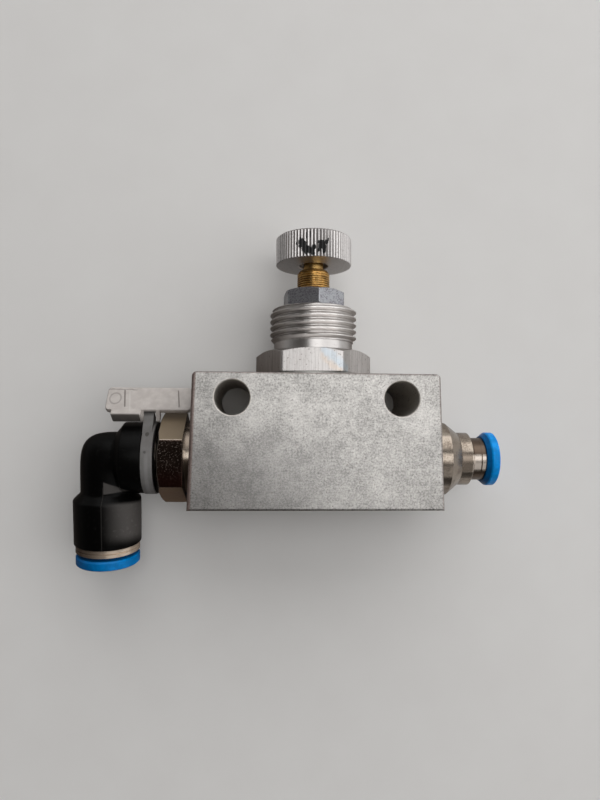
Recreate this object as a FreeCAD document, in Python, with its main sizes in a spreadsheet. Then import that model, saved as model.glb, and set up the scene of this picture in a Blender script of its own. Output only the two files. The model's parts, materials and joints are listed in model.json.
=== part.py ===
"""In-line adjustable throttle valve for air: a cast block with a bonnet, a screwed needle and a knob,
a straight push-in fitting on its right port and a swivelling push-in elbow on its left port.

Millimetres. The valve lies on its back: X runs along the two ports, Y along the needle towards the
knob, and Z out of the front face. The origin is on the back face, where the two axes cross in plan.
"""
import FreeCAD
import Part
import Sketcher
import math
import os
from types import SimpleNamespace

os.makedirs("parts", exist_ok=True)

doc = FreeCAD.newDocument("throttle_valve")

# Sizes

SIZES = {
    # cast block
    "body_depth": 26.0,
    "base_length": 54.2,
    "side_draft": 1.44,
    "below_port": 10.45,
    "above_port": 18.55,
    "corner_round": 1.05,
    "edge_round": 0.5,
    "bolt_spacing": 36.0,
    "bolt_height": 13.15,
    "bolt_hole_radius": 3.75,
    "bolt_chamfer": 0.2,
    # ports
    "port_radius": 6.58,
    "port_depth": 11.0,
    "port_spot": 0.55,
    "spot_radius": 9.0,
    "port_drill_point": 2.0,
    "passage_radius": 2.4,
    "passage_offset": 3.4,
    # bores for bonnet and sleeve
    "bonnet_bore": 8.0,
    "bore_step": 9.0,
    "sleeve_bore": 7.0,
    "bore_bottom": 7.5,
    # clearances
    "thread_gap": 0.05,
    "slide_gap": 0.06,
    "press_gap": 0.02,
    "seal_gap": 0.03,
    "face_gap": 0.05,
    "part_gap": 0.3,
    # gasket and bonnet
    "gasket_thick": 0.5,
    "gasket_radius": 11.3,
    "bonnet_hex": 23.0,
    "bonnet_hex_high": 5.15,
    "bonnet_turn": 5.7,
    "neck_radius": 9.04,
    "neck_high": 2.1,
    "panel_pitch": 1.5,
    "panel_turns": 4,
    "panel_radius": 10.0,
    "panel_depth": 0.92,
    "panel_land": 0.1,
    "piston_bore": 4.45,
    "piston_bore_high": 1.95,
    # lock nut
    "nut_hex": 13.0,
    "nut_high": 4.15,
    "nut_turn": 24.6,
    # spindle
    "spindle_radius": 3.78,
    "spindle_taper_wide": 0.6,
    "spindle_taper_long": 1.2,
    "spindle_neck": 2.3,
    "neck_shown": 1.45,
    "piston_rise": 1.5,
    "piston_long": 6.5,
    "stem_radius": 3.0,
    "ring_groove_inset": 2.4,
    "ring_groove_wide": 1.9,
    "ring_wire": 0.44,
    "needle_root": 2.6,
    "needle_tip": 0.8,
    "needle_high": 7.0,
    "needle_low": 3.2,
    # knob
    "knob_radius": 8.8,
    "knob_lift": 6.55,
    "knob_high": 6.4,
    "knob_recess_radius": 3.35,
    "knob_recess_deep": 1.3,
    "knob_cap": 0.9,
    "knob_chamfer": 0.35,
    "knurl_count": 72,
    "knurl_deep": 0.28,
    # sleeve with seat
    "sleeve_wall": 1.5,
    "channel_deep": 0.9,
    "channel_half": 5.9,
    "seat_half": 0.8,
    "seat_radius": 2.1,
    "window_radius": 2.2,
    "collar_half": 0.6,
    "collar_lip": 1.5,
    "sleeve_ring_wire": 0.39,
    "sleeve_ring_land": 0.9,
    "sleeve_ring_wide": 1.2,
    # male port threads
    "male_long": 10.4,
    "seal_thick": 1.0,
    "seal_width": 1.0,
    # straight fitting, with lengths one after the other from the port
    "straight_flange_radius": 8.35,
    "straight_flange_long": 3.85,
    "straight_cone_long": 2.7,
    "straight_body_radius": 6.07,
    "straight_body_long": 2.5,
    "straight_step_long": 0.7,
    "straight_neck_radius": 4.87,
    "straight_neck_long": 1.7,
    "straight_key": 5.0,
    "straight_tube": 6.0,
    "straight_tube_hold": 4.0,
    "straight_pocket_radius": 4.3,
    "straight_pocket_long": 6.3,
    "straight_sleeve_rim": 0.95,
    "straight_ring_radius": 6.15,
    "straight_ring_long": 2.7,
    "straight_ring_chamfer": 1.1,
    # push-in inner pieces
    "tube_play": 0.1,
    "shank_wall": 0.52,
    "tube_seal_long": 2.0,
    "collet_long": 2.2,
    "inner_play": 0.1,
    # elbow stud, with lengths one after the other from the port
    "elbow_collar_radius": 7.8,
    "elbow_collar_long": 1.65,
    "elbow_hex": 17.8,
    "elbow_hex_long": 5.5,
    "elbow_hex_turn": 5.9,
    "spigot_radius": 5.0,
    "spigot_long": 7.6,
    "swivel_ring_start": 4.2,
    "swivel_ring_wide": 1.7,
    "swivel_ring_wire": 0.45,
    "clip_start": 1.4,
    "clip_thick": 0.7,
    "clip_radius": 6.1,
    # elbow, along its neck from the stud's hexagon
    "elbow_turn": 8.0,
    "elbow_neck_radius": 8.03,
    "elbow_neck_gap": 0.75,
    "strap_inset": 0.4,
    "strap_to_shoulder": 4.65,
    "elbow_shoulder_long": 1.75,
    "shoulder_to_branch": 2.45,
    # elbow, down its branch from the ports' axis
    "elbow_small_radius": 5.8,
    "elbow_corner": 5.7,
    "elbow_cone_start": 7.75,
    "elbow_cone_long": 1.65,
    "elbow_tube_radius": 7.45,
    "elbow_tube_long": 10.0,
    "elbow_mouth_radius": 7.4,
    "elbow_way": 3.0,
    "elbow_tube": 8.0,
    "elbow_tube_hold": 4.0,
    "elbow_pocket_radius": 6.3,
    "elbow_pocket_long": 9.4,
    "elbow_sleeve_rim": 1.85,
    "elbow_sleeve_groove": 0.2,
    "elbow_ring_radius": 7.05,
    "elbow_ring_gap": 0.75,
    "elbow_ring_long": 2.05,
    "elbow_ring_travel": 0.6,
    # marker tie: its plate is drawn before it is leaned about the ports' axis
    "strap_wide": 2.55,
    "strap_radius": 8.2,
    "strap_thick": 0.9,
    "rim_groove": 7.2,
    "plate_lean": 33.0,
    "plate_long": 18.8,
    "plate_wide": 6.3,
    "plate_thick": 1.3,
    "plate_out": 9.8,
    "plate_low": 6.3,
    "plate_round": 0.6,
    "rail_inset": 1.4,
    "rail_low": 4.95,
    "rail_wide": 2.45,
    "rail_deep": 2.75,
    "head_set_back": 0.05,
    "head_low": 4.85,
    "head_wide": 2.05,
    "head_deep": 2.85,
    "head_pillar": 0.8,
    "head_sink": 1.15,
    "head_gap": 0.45,
}

sheet = doc.addObject("Spreadsheet::Sheet", "Sizes")
for row, (alias, number) in enumerate(SIZES.items(), start=1):
    sheet.set(f"A{row}", alias)
    sheet.set(f"B{row}", str(number))
    sheet.setAlias(f"B{row}", alias)
doc.recompute()


class Term:
    """A size worked out from the sheet: its value and the expression that gives it."""

    def __init__(self, value, text):
        self.value = float(value)
        self.text = text

    def __add__(self, other):
        other = term(other)
        return Term(self.value + other.value, f"({self.text} + {other.text})")

    def __sub__(self, other):
        other = term(other)
        return Term(self.value - other.value, f"({self.text} - {other.text})")

    def __mul__(self, other):
        other = term(other)
        return Term(self.value * other.value, f"({self.text} * {other.text})")

    def __truediv__(self, other):
        other = term(other)
        return Term(self.value / other.value, f"({self.text} / {other.text})")

    def __radd__(self, other):
        return term(other) + self

    def __rsub__(self, other):
        return term(other) - self

    def __rmul__(self, other):
        return term(other) * self

    def __neg__(self):
        return Term(-self.value, f"(0 - {self.text})")


def term(number):
    """A plain number as a Term."""
    return number if isinstance(number, Term) else Term(number, repr(float(number)))


def cosine(angle):
    angle = term(angle)
    return Term(math.cos(math.radians(angle.value)), f"cos({angle.text} * 1 deg)")


def sine(angle):
    angle = term(angle)
    return Term(math.sin(math.radians(angle.value)), f"sin({angle.text} * 1 deg)")


def tangent(angle):
    angle = term(angle)
    return Term(math.tan(math.radians(angle.value)), f"tan({angle.text} * 1 deg)")


size = SimpleNamespace(**{name: Term(value, f"Sizes.{name}") for name, value in SIZES.items()})

AXIS_HIGH = size.body_depth / 2
PORT_FACE = size.base_length / 2 - size.port_spot
BODY_TOP = size.above_port
BONNET_SEAT = BODY_TOP + size.gasket_thick
BONNET_LOW = size.bore_step + 0.1
HEX_TOP = BONNET_SEAT + size.bonnet_hex_high
THREAD_LOW = HEX_TOP + size.neck_high
PANEL_CREST = THREAD_LOW + 2 * size.panel_pitch - 1.0
BONNET_TOP = PANEL_CREST + (size.panel_turns - 1) * size.panel_pitch + 1.2
NUT_LOW = BONNET_TOP + size.face_gap
NUT_TOP = NUT_LOW + size.nut_high
KNOB_LOW = NUT_TOP + size.knob_lift
KNOB_TOP = KNOB_LOW + size.knob_high
SPINDLE_THREAD_TOP = KNOB_LOW - size.neck_shown
PISTON_BORE_TOP = BONNET_SEAT + size.piston_bore_high
PISTON_TOP = PISTON_BORE_TOP - size.piston_rise
PISTON_LOW = PISTON_TOP - size.piston_long
PISTON_RADIUS = size.piston_bore - size.face_gap
RING_GROOVE_LOW = PISTON_LOW + size.ring_groove_inset
SPINDLE_BORE = size.spindle_radius + size.thread_gap
MALE_RADIUS = size.port_radius - size.thread_gap
SEAL_FACE = PORT_FACE + size.seal_thick
FLANGE_FACE = PORT_FACE + size.part_gap
SEAL_OUTER = size.port_radius + size.seal_width
SLEEVE_OUTER = size.sleeve_bore - size.slide_gap
SLEEVE_RING_LOW = size.channel_half + size.sleeve_ring_land
SLEEVE_RING_RADIUS = size.sleeve_bore - size.press_gap - size.sleeve_ring_wire
STRAIGHT_FLANGE_END = FLANGE_FACE + size.straight_flange_long
STRAIGHT_CONE_END = STRAIGHT_FLANGE_END + size.straight_cone_long
STRAIGHT_BODY_END = STRAIGHT_CONE_END + size.straight_body_long
STRAIGHT_NECK_START = STRAIGHT_BODY_END + size.straight_step_long
STRAIGHT_END = STRAIGHT_NECK_START + size.straight_neck_long
STRAIGHT_POCKET = STRAIGHT_END - size.straight_pocket_long
STRAIGHT_STOP = STRAIGHT_POCKET - size.straight_tube_hold
STRAIGHT_WAY = size.straight_tube / 2 + size.tube_play
STRAIGHT_SEAL = STRAIGHT_POCKET + size.inner_play
STRAIGHT_COLLET = STRAIGHT_SEAL + size.tube_seal_long + size.part_gap
ELBOW_HEX_START = FLANGE_FACE + size.elbow_collar_long
ELBOW_HEX_END = ELBOW_HEX_START + size.elbow_hex_long
SPIGOT_END = ELBOW_HEX_END + size.spigot_long
SWIVEL_RING = ELBOW_HEX_END + size.swivel_ring_start
CLIP_START = ELBOW_HEX_END + size.clip_start
ELBOW_NECK_START = ELBOW_HEX_END + size.elbow_neck_gap
STRAP_START = ELBOW_NECK_START + size.strap_inset
STRAP_END = STRAP_START + size.strap_wide
ELBOW_NECK_END = STRAP_END + size.strap_to_shoulder
ELBOW_SHOULDER_END = ELBOW_NECK_END + size.elbow_shoulder_long
ELBOW_BRANCH = ELBOW_SHOULDER_END + size.shoulder_to_branch
ELBOW_CONE_END = size.elbow_cone_start + size.elbow_cone_long
ELBOW_END = ELBOW_CONE_END + size.elbow_tube_long
ELBOW_POCKET = ELBOW_END - size.elbow_pocket_long
ELBOW_STOP = ELBOW_POCKET - size.elbow_tube_hold
ELBOW_WAY = size.elbow_tube / 2 + size.tube_play
ELBOW_SEAL = ELBOW_POCKET + size.inner_play
ELBOW_COLLET = ELBOW_SEAL + size.tube_seal_long + size.part_gap
ELBOW_RING_SHANK = ELBOW_COLLET + size.collet_long + size.elbow_ring_travel + size.inner_play


# Helpers for document objects


def bind(thing, name, amount):
    """Set a property and tie it to the sheet."""
    amount = term(amount)
    thing.setExpression(name, amount.text)


def place(thing, x=0.0, y=0.0, z=AXIS_HIGH, lean=None):
    """Put a sub-part at a point, turned about X by an angle in degrees."""
    x, y, z = term(x), term(y), term(z)
    angle = lean.value if lean else 0.0
    turn = FreeCAD.Rotation(FreeCAD.Vector(1, 0, 0), angle)
    thing.Placement = FreeCAD.Placement(FreeCAD.Vector(x.value, y.value, z.value), turn)
    bind(thing, "Placement.Base.x", x)
    bind(thing, "Placement.Base.y", y)
    bind(thing, "Placement.Base.z", z)
    if lean:
        thing.setExpression("Placement.Rotation.Angle", f"{lean.text} * 1 deg")


def new_body(name):
    body = doc.addObject("PartDesign::Body", name)
    body.Label = name
    return body


def origin_item(body, role):
    return next(item for item in body.Origin.OriginFeatures if item.Role == role)


def outline(body, name, plane, points, offset=None):
    """A closed polygon sketch on an origin plane, with each corner's place tied to the sheet."""
    sketch = body.newObject("Sketcher::SketchObject", f"{body.Name}_{name}")
    sketch.AttachmentSupport = (origin_item(body, plane), [""])
    sketch.MapMode = "FlatFace"
    if offset is not None:
        sketch.AttachmentOffset = FreeCAD.Placement(FreeCAD.Vector(0, 0, offset.value), FreeCAD.Rotation())
        bind(sketch, "AttachmentOffset.Base.z", offset)
    points = [(term(across), term(along)) for across, along in points]
    spots = [FreeCAD.Vector(across.value, along.value, 0) for across, along in points]
    count = len(spots)
    for index in range(count):
        sketch.addGeometry(Part.LineSegment(spots[index], spots[(index + 1) % count]), False)
    for index in range(count):
        sketch.addConstraint(Sketcher.Constraint("Coincident", index, 2, (index + 1) % count, 1))
    for index, corner in enumerate(points):
        for kind, line, amount in zip(("DistanceX", "DistanceY"), (-2, -1), corner):
            if amount.text == "0.0":
                sketch.addConstraint(Sketcher.Constraint("PointOnObject", index, 1, line))
                continue
            number = sketch.addConstraint(Sketcher.Constraint(kind, -1, 1, index, 1, amount.value))
            bind(sketch, f"Constraints[{number}]", amount)
    return sketch


def turned(body, name, axis, points, cut=False):
    """Turn a polygon of (place along the axis, radius) about the X or Y axis, adding or cutting."""
    if axis == "Y":
        points = [(radius, along) for along, radius in points]
    sketch = outline(body, f"{name}_outline", "XY_Plane", points)
    kind = "PartDesign::Groove" if cut else "PartDesign::Revolution"
    feature = body.newObject(kind, f"{body.Name}_{name}")
    feature.Profile = sketch
    feature.ReferenceAxis = (sketch, ["V_Axis" if axis == "Y" else "H_Axis"])
    feature.Angle = 360
    return finish(body, feature, cut)


def extruded(body, name, plane, points, length, offset=None, cut=False, reverse=False):
    """Pad or pocket a polygon by a length that is tied to the sheet."""
    sketch = outline(body, f"{name}_outline", plane, points, offset)
    feature = body.newObject("PartDesign::Pocket" if cut else "PartDesign::Pad", f"{body.Name}_{name}")
    feature.Profile = sketch
    feature.Reversed = reverse
    bind(feature, "Length", length)
    return finish(body, feature, cut)


def finish(body, feature, cut):
    """Recompute a feature and stop if a cut takes nothing away or a pad adds nothing."""
    before = body.Shape.Volume if not body.Shape.isNull() else 0.0
    body.Tip = feature
    doc.recompute()
    change = body.Shape.Volume - before
    if (change >= -1e-6) if cut else (change <= 1e-6):
        raise ValueError(f"{feature.Name} changed the volume by {change:.4f}")
    return feature


def hexagon(across, turn):
    """Corners of a hexagon with a corner at an angle from the sketch's first axis."""
    radius = across / (2 * cosine(30))
    return [(radius * cosine(turn + 60 * k), radius * sine(turn + 60 * k)) for k in range(6)]


def hex_chamfer(body, name, axis, face, across, inward):
    """Turn down a hexagon's corners at one end face with a 25 degree cone."""
    corner = across / (2 * cosine(30))
    reach = corner + 1.0
    drop = (reach - (across / 2 - 0.1)) * tangent(25) * inward
    points = [(face, across / 2 - 0.1), (face, reach), (face + drop, reach)]
    return turned(body, name, axis, points, cut=True)


def rounded(body, name, radius, test):
    """Fillet the edges whose middle point passes a test."""
    base = body.Tip
    chosen = [
        f"Edge{number}"
        for number, edge in enumerate(base.Shape.Edges, start=1)
        if test(edge.valueAt((edge.FirstParameter + edge.LastParameter) / 2), edge)
    ]
    fillet = body.newObject("PartDesign::Fillet", f"{body.Name}_{name}")
    fillet.Base = (base, chosen)
    bind(fillet, "Radius", radius)
    body.Tip = fillet
    doc.recompute()
    return fillet


def ring(name, axis, low, high, inner, outer, **spot):
    """A plain ring of rectangular section."""
    body = new_body(name)
    turned(body, "ring", axis, [(low, inner), (high, inner), (high, outer), (low, outer)])
    place(body, **spot)
    return body


def wire_ring(name, axis, middle, radius, wire, **spot):
    """A seal of round section, drawn as a sixteen-sided section."""
    body = new_body(name)
    points = [
        (middle + wire * cosine(22.5 * k), radius + wire * sine(22.5 * k))
        for k in range(16)
    ]
    turned(body, "ring", axis, points)
    place(body, **spot)
    return body


def cylinder(name, radius, length, x, y, z, direction):
    """A plain cylinder used as a tool, along X, Y or Z from a point."""
    rod = doc.addObject("Part::Cylinder", name)
    bind(rod, "Radius", radius)
    bind(rod, "Height", length)
    turn = FreeCAD.Rotation(FreeCAD.Vector(0, 0, 1), FreeCAD.Vector(*direction))
    x, y, z = term(x), term(y), term(z)
    rod.Placement = FreeCAD.Placement(FreeCAD.Vector(x.value, y.value, z.value), turn)
    bind(rod, "Placement.Base.x", x)
    bind(rod, "Placement.Base.y", y)
    bind(rod, "Placement.Base.z", z)
    return rod


def box(name, low, extent):
    """A box from its low corner."""
    block = doc.addObject("Part::Box", name)
    for prop, amount in zip(("Length", "Width", "Height"), extent):
        bind(block, prop, amount)
    for letter, amount in zip("xyz", low):
        bind(block, f"Placement.Base.{letter}", amount)
    return block


def fused(name, shapes):
    joint = doc.addObject("Part::MultiFuse", name)
    joint.Shapes = shapes
    return joint


def cut_away(name, base, tool):
    result = doc.addObject("Part::Cut", name)
    result.Base = base
    result.Tool = tool
    result.Label = name
    return result


# Cast block


def make_valve_body():
    """Tapered casting, machined for the ports, the bonnet and two through holes."""
    body = new_body("block")
    half = size.base_length / 2
    narrow = half - (size.below_port + BODY_TOP) * tangent(size.side_draft)
    back = -AXIS_HIGH
    trapezoid = [(-half, -size.below_port), (half, -size.below_port), (narrow, BODY_TOP), (-narrow, BODY_TOP)]
    extruded(body, "casting", "XY_Plane", trapezoid, size.body_depth, back)
    rounded(
        body, "top_corners", size.corner_round,
        lambda middle, edge: middle.y > BODY_TOP.value - 0.1 and abs(middle.z) < 0.1,
    )
    rounded(
        body, "rim", size.edge_round,
        lambda middle, edge: abs(middle.z) > AXIS_HIGH.value - 0.01,
    )
    reach = half + 1.0
    for side, name in ((1, "right"), (-1, "left")):
        stop = PORT_FACE - size.port_depth
        port = [
            (side * reach, 0.0), (side * reach, size.spot_radius), (side * PORT_FACE, size.spot_radius),
            (side * PORT_FACE, size.port_radius), (side * stop, size.port_radius),
            (side * (stop - size.port_drill_point), 0.0),
        ]
        turned(body, f"{name}_port", "X", port, cut=True)
    bore = [
        (BODY_TOP + 1.0, 0.0), (BODY_TOP + 1.0, size.bonnet_bore), (size.bore_step, size.bonnet_bore),
        (size.bore_step, size.sleeve_bore), (-size.bore_bottom, size.sleeve_bore), (-size.bore_bottom, 0.0),
    ]
    turned(body, "bonnet_bore", "Y", bore, cut=True)
    place(body)
    tools = []
    for side, name in ((1, "right"), (-1, "left")):
        level = side * size.passage_offset
        start = side * (size.sleeve_bore - size.port_drill_point / 2)
        length = PORT_FACE - size.port_depth - size.sleeve_bore + size.port_drill_point
        tools.append(
            cylinder(f"{name}_passage", size.passage_radius, length, start, level, AXIS_HIGH, (side, 0, 0))
        )
        spot = side * size.bolt_spacing / 2
        hole = cylinder(
            f"{name}_bolt_hole", size.bolt_hole_radius, size.body_depth + 2.0, spot, size.bolt_height, -1.0, (0, 0, 1)
        )
        tools.append(hole)
        wide = size.bolt_hole_radius + size.bolt_chamfer
        ends = (
            ("back", 0.0, wide, size.bolt_hole_radius),
            ("front", size.body_depth - size.bolt_chamfer, size.bolt_hole_radius, wide),
        )
        for end, low, first, last in ends:
            sink = doc.addObject("Part::Cone", f"{name}_{end}_sink")
            bind(sink, "Radius1", first)
            bind(sink, "Radius2", last)
            bind(sink, "Height", size.bolt_chamfer)
            bind(sink, "Placement.Base.x", spot)
            bind(sink, "Placement.Base.y", size.bolt_height)
            bind(sink, "Placement.Base.z", low)
            tools.append(sink)
    return cut_away("valve_body", body, fused("block_tools", tools))


# Bonnet, gasket and lock nut


def make_bonnet():
    """Hexagon bonnet with a long panel thread, an undercut neck and a screwed plug."""
    body = new_body("bonnet")
    flats = hexagon(size.bonnet_hex, size.bonnet_turn)
    extruded(body, "hexagon", "XZ_Plane", flats, size.bonnet_hex_high, -BONNET_SEAT, reverse=True)
    hex_chamfer(body, "hexagon_top", "Y", HEX_TOP, size.bonnet_hex, -1.0)
    plug = size.bonnet_bore - size.thread_gap
    root = size.panel_radius - size.panel_depth
    profile = [
        (BONNET_LOW, 0.0), (BONNET_LOW, plug - 0.5), (BONNET_LOW + 0.5, plug), (BONNET_SEAT + 0.2, plug),
        (BONNET_SEAT + 0.2, size.neck_radius), (THREAD_LOW, size.neck_radius),
        (PANEL_CREST - 1.0 * size.panel_pitch, size.panel_radius - 0.45),
    ]
    for turn in range(int(size.panel_turns.value)):
        crest = PANEL_CREST + turn * size.panel_pitch
        profile.append((crest - size.panel_pitch / 2, root))
        profile.append((crest - size.panel_land, size.panel_radius))
        profile.append((crest + size.panel_land, size.panel_radius))
    profile += [(BONNET_TOP - 0.45, root), (BONNET_TOP - 0.2, root + 0.1), (BONNET_TOP, root - 0.1), (BONNET_TOP, 0.0)]
    turned(body, "thread", "Y", profile)
    bore = [
        (BONNET_LOW - 1.0, 0.0), (BONNET_LOW - 1.0, size.piston_bore), (PISTON_BORE_TOP, size.piston_bore),
        (PISTON_BORE_TOP, SPINDLE_BORE), (BONNET_TOP + 1.0, SPINDLE_BORE), (BONNET_TOP + 1.0, 0.0),
    ]
    turned(body, "bore", "Y", bore, cut=True)
    place(body)
    return body


def make_lock_nut():
    """Hexagon jam nut on the spindle thread."""
    body = new_body("lock_nut")
    flats = hexagon(size.nut_hex, size.nut_turn)
    extruded(body, "hexagon", "XZ_Plane", flats, size.nut_high, -NUT_LOW, reverse=True)
    hex_chamfer(body, "top", "Y", NUT_TOP, size.nut_hex, -1.0)
    hex_chamfer(body, "bottom", "Y", NUT_LOW, size.nut_hex, 1.0)
    bore = [(NUT_LOW - 1.0, 0.0), (NUT_LOW - 1.0, SPINDLE_BORE), (NUT_TOP + 1.0, SPINDLE_BORE), (NUT_TOP + 1.0, 0.0)]
    turned(body, "bore", "Y", bore, cut=True)
    place(body)
    return body


# Spindle and knob


def make_spindle():
    """Screwed brass spindle with a captive piston and a needle cone."""
    body = new_body("spindle")
    groove_top = RING_GROOVE_LOW + size.ring_groove_wide
    groove_root = PISTON_RADIUS - 2 * size.ring_wire - size.seal_gap
    profile = [
        (size.needle_low, 0.0), (size.needle_low, size.needle_tip), (size.needle_high, size.needle_root),
        (size.needle_high + 0.4, size.stem_radius), (PISTON_LOW, size.stem_radius),
        (PISTON_LOW, PISTON_RADIUS), (RING_GROOVE_LOW, PISTON_RADIUS),
        (RING_GROOVE_LOW, groove_root), (groove_top, groove_root), (groove_top, PISTON_RADIUS),
        (PISTON_TOP, PISTON_RADIUS), (PISTON_TOP + 0.5, size.stem_radius), (PISTON_TOP + 1.0, size.spindle_radius),
        (SPINDLE_THREAD_TOP - size.spindle_taper_long, size.spindle_radius),
        (SPINDLE_THREAD_TOP, size.spindle_radius - size.spindle_taper_wide),
        (SPINDLE_THREAD_TOP, size.spindle_neck), (KNOB_TOP - size.knob_cap, size.spindle_neck),
        (KNOB_TOP - size.knob_cap, 0.0),
    ]
    turned(body, "turning", "Y", profile)
    place(body)
    return body


def make_knob():
    """Knob with straight knurling and a recess round the spindle."""
    body = new_body("knob")
    bore = size.spindle_neck + size.press_gap
    low = KNOB_LOW
    edge = size.knob_chamfer
    profile = [
        (KNOB_TOP, 0.0), (KNOB_TOP, size.knob_radius - edge), (KNOB_TOP - edge, size.knob_radius),
        (low + edge, size.knob_radius), (low, size.knob_radius - edge), (low, size.knob_recess_radius),
        (low + size.knob_recess_deep, size.knob_recess_radius), (low + size.knob_recess_deep, bore),
        (KNOB_TOP - size.knob_cap, bore), (KNOB_TOP - size.knob_cap, 0.0),
    ]
    turned(body, "turning", "Y", profile)
    half = math.pi * size.knob_radius / size.knurl_count * 0.86
    notch = [
        (size.knob_radius + 0.1, half), (size.knob_radius + 0.1, -half), (size.knob_radius - size.knurl_deep, 0.0),
    ]
    pocket = extruded(body, "knurl_notch", "XZ_Plane", notch, KNOB_TOP + 1.0, cut=True)
    pattern = body.newObject("PartDesign::PolarPattern", "knob_knurl")
    pattern.Originals = [pocket]
    pattern.Axis = (origin_item(body, "Y_Axis"), [""])
    pattern.Angle = 360
    bind(pattern, "Occurrences", size.knurl_count)
    body.Tip = pattern
    place(body)
    return body


# Throttle sleeve


def make_throttle_sleeve():
    """Insert with the needle seat, two windows and the channel that the check collar closes."""
    body = new_body("sleeve_turning")
    outer = SLEEVE_OUTER
    inner = outer - size.sleeve_wall
    channel = outer - size.channel_deep
    low = -size.bore_bottom
    high = BONNET_LOW
    ring_top = SLEEVE_RING_LOW + size.sleeve_ring_wide
    ring_root = SLEEVE_RING_RADIUS - size.sleeve_ring_wire - size.seal_gap
    profile = [
        (high, inner), (high, outer), (ring_top, outer), (ring_top, ring_root),
        (SLEEVE_RING_LOW, ring_root), (SLEEVE_RING_LOW, outer), (size.channel_half, outer), (size.channel_half, channel),
        (-size.channel_half, channel), (-size.channel_half, outer), (low, outer), (low, inner),
        (-size.seat_half, inner), (-size.seat_half, size.seat_radius), (size.seat_half, size.seat_radius),
        (size.seat_half, inner),
    ]
    turned(body, "turning", "Y", profile)
    place(body)
    tools = []
    for side, name in ((1, "right"), (-1, "left")):
        level = side * size.passage_offset
        tools.append(
            cylinder(f"{name}_window", size.window_radius, outer + 1.0, 0.0, level, AXIS_HIGH, (side, 0, 0))
        )
    return cut_away("throttle_sleeve", body, fused("sleeve_windows", tools))


def make_check_collar():
    """Lip ring in the sleeve's channel: it folds inward for the free flow."""
    body = new_body("check_collar")
    inner = SLEEVE_OUTER - size.channel_deep + size.seal_gap
    outer = size.sleeve_bore - size.seal_gap
    lip = size.collar_half + size.collar_lip
    profile = [
        (-size.collar_half, inner), (size.collar_half, inner), (size.collar_half, inner + 0.3),
        (lip, outer - 0.3), (lip, outer), (size.collar_half, inner + 0.6), (-size.collar_half, inner + 0.6),
    ]
    turned(body, "turning", "Y", profile)
    place(body)
    return body


# Straight push-in fitting


def make_straight_body():
    """Round screwed body with an inner key hexagon, a seal recess and a stepped nose."""
    body = new_body("straight_body")
    tip = PORT_FACE - size.male_long
    rim = size.straight_flange_radius
    profile = [
        (tip, 0.0), (tip, MALE_RADIUS - 0.6), (tip + 0.6, MALE_RADIUS), (SEAL_FACE, MALE_RADIUS),
        (SEAL_FACE, SEAL_OUTER + size.seal_gap), (FLANGE_FACE, SEAL_OUTER + size.seal_gap), (FLANGE_FACE, rim - 0.2),
        (FLANGE_FACE + 0.2, rim), (STRAIGHT_FLANGE_END - 0.2, rim), (STRAIGHT_FLANGE_END, rim - 0.15),
        (STRAIGHT_CONE_END, size.straight_body_radius), (STRAIGHT_BODY_END, size.straight_body_radius),
        (STRAIGHT_NECK_START, size.straight_neck_radius), (STRAIGHT_END, size.straight_neck_radius),
        (STRAIGHT_END, 0.0),
    ]
    turned(body, "turning", "X", profile)
    pocket = size.straight_pocket_radius
    bore = [
        (STRAIGHT_STOP, 0.0), (STRAIGHT_STOP, STRAIGHT_WAY), (STRAIGHT_POCKET, STRAIGHT_WAY),
        (STRAIGHT_POCKET, pocket), (STRAIGHT_END + 1.0, pocket), (STRAIGHT_END + 1.0, 0.0),
    ]
    turned(body, "bore", "X", bore, cut=True)
    key_long = STRAIGHT_STOP - tip + 2.0
    extruded(body, "key", "YZ_Plane", hexagon(size.straight_key, 0.0), key_long, tip - 1.0, cut=True, reverse=True)
    place(body)
    return body


def make_straight_collet_sleeve():
    """Pressed-in sleeve with a thin rim that closes the nose."""
    body = new_body("straight_collet_sleeve")
    outer = size.straight_pocket_radius - size.press_gap
    inner = STRAIGHT_WAY + size.shank_wall + 0.13
    start = STRAIGHT_COLLET - size.inner_play
    rim = STRAIGHT_END + size.straight_sleeve_rim
    profile = [
        (start, inner), (rim, inner), (rim, size.straight_neck_radius), (STRAIGHT_END, size.straight_neck_radius),
        (STRAIGHT_END, outer), (start, outer),
    ]
    turned(body, "turning", "X", profile)
    place(body)
    return body


def make_release_ring(name, axis, way, shank_start, neck, end, radius, inboard, **spot):
    """Plastic push ring: a thin shank with a broad bevelled head. The sign of the end gives its direction."""
    body = new_body(name)
    sign = 1.0 if end.value > 0 else -1.0
    shank = way + size.shank_wall
    bevel = 0.2 * sign
    profile = [
        (shank_start, way), (shank_start, shank), (neck, shank), (neck, radius - inboard * 0.8),
        (neck + sign * inboard, radius), (end - bevel, radius), (end, radius - 0.2), (end, way + 0.4),
        (end - 2 * bevel, way),
    ]
    turned(body, "turning", axis, profile)
    place(body, **spot)
    return body


# Elbow push-in fitting


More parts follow.
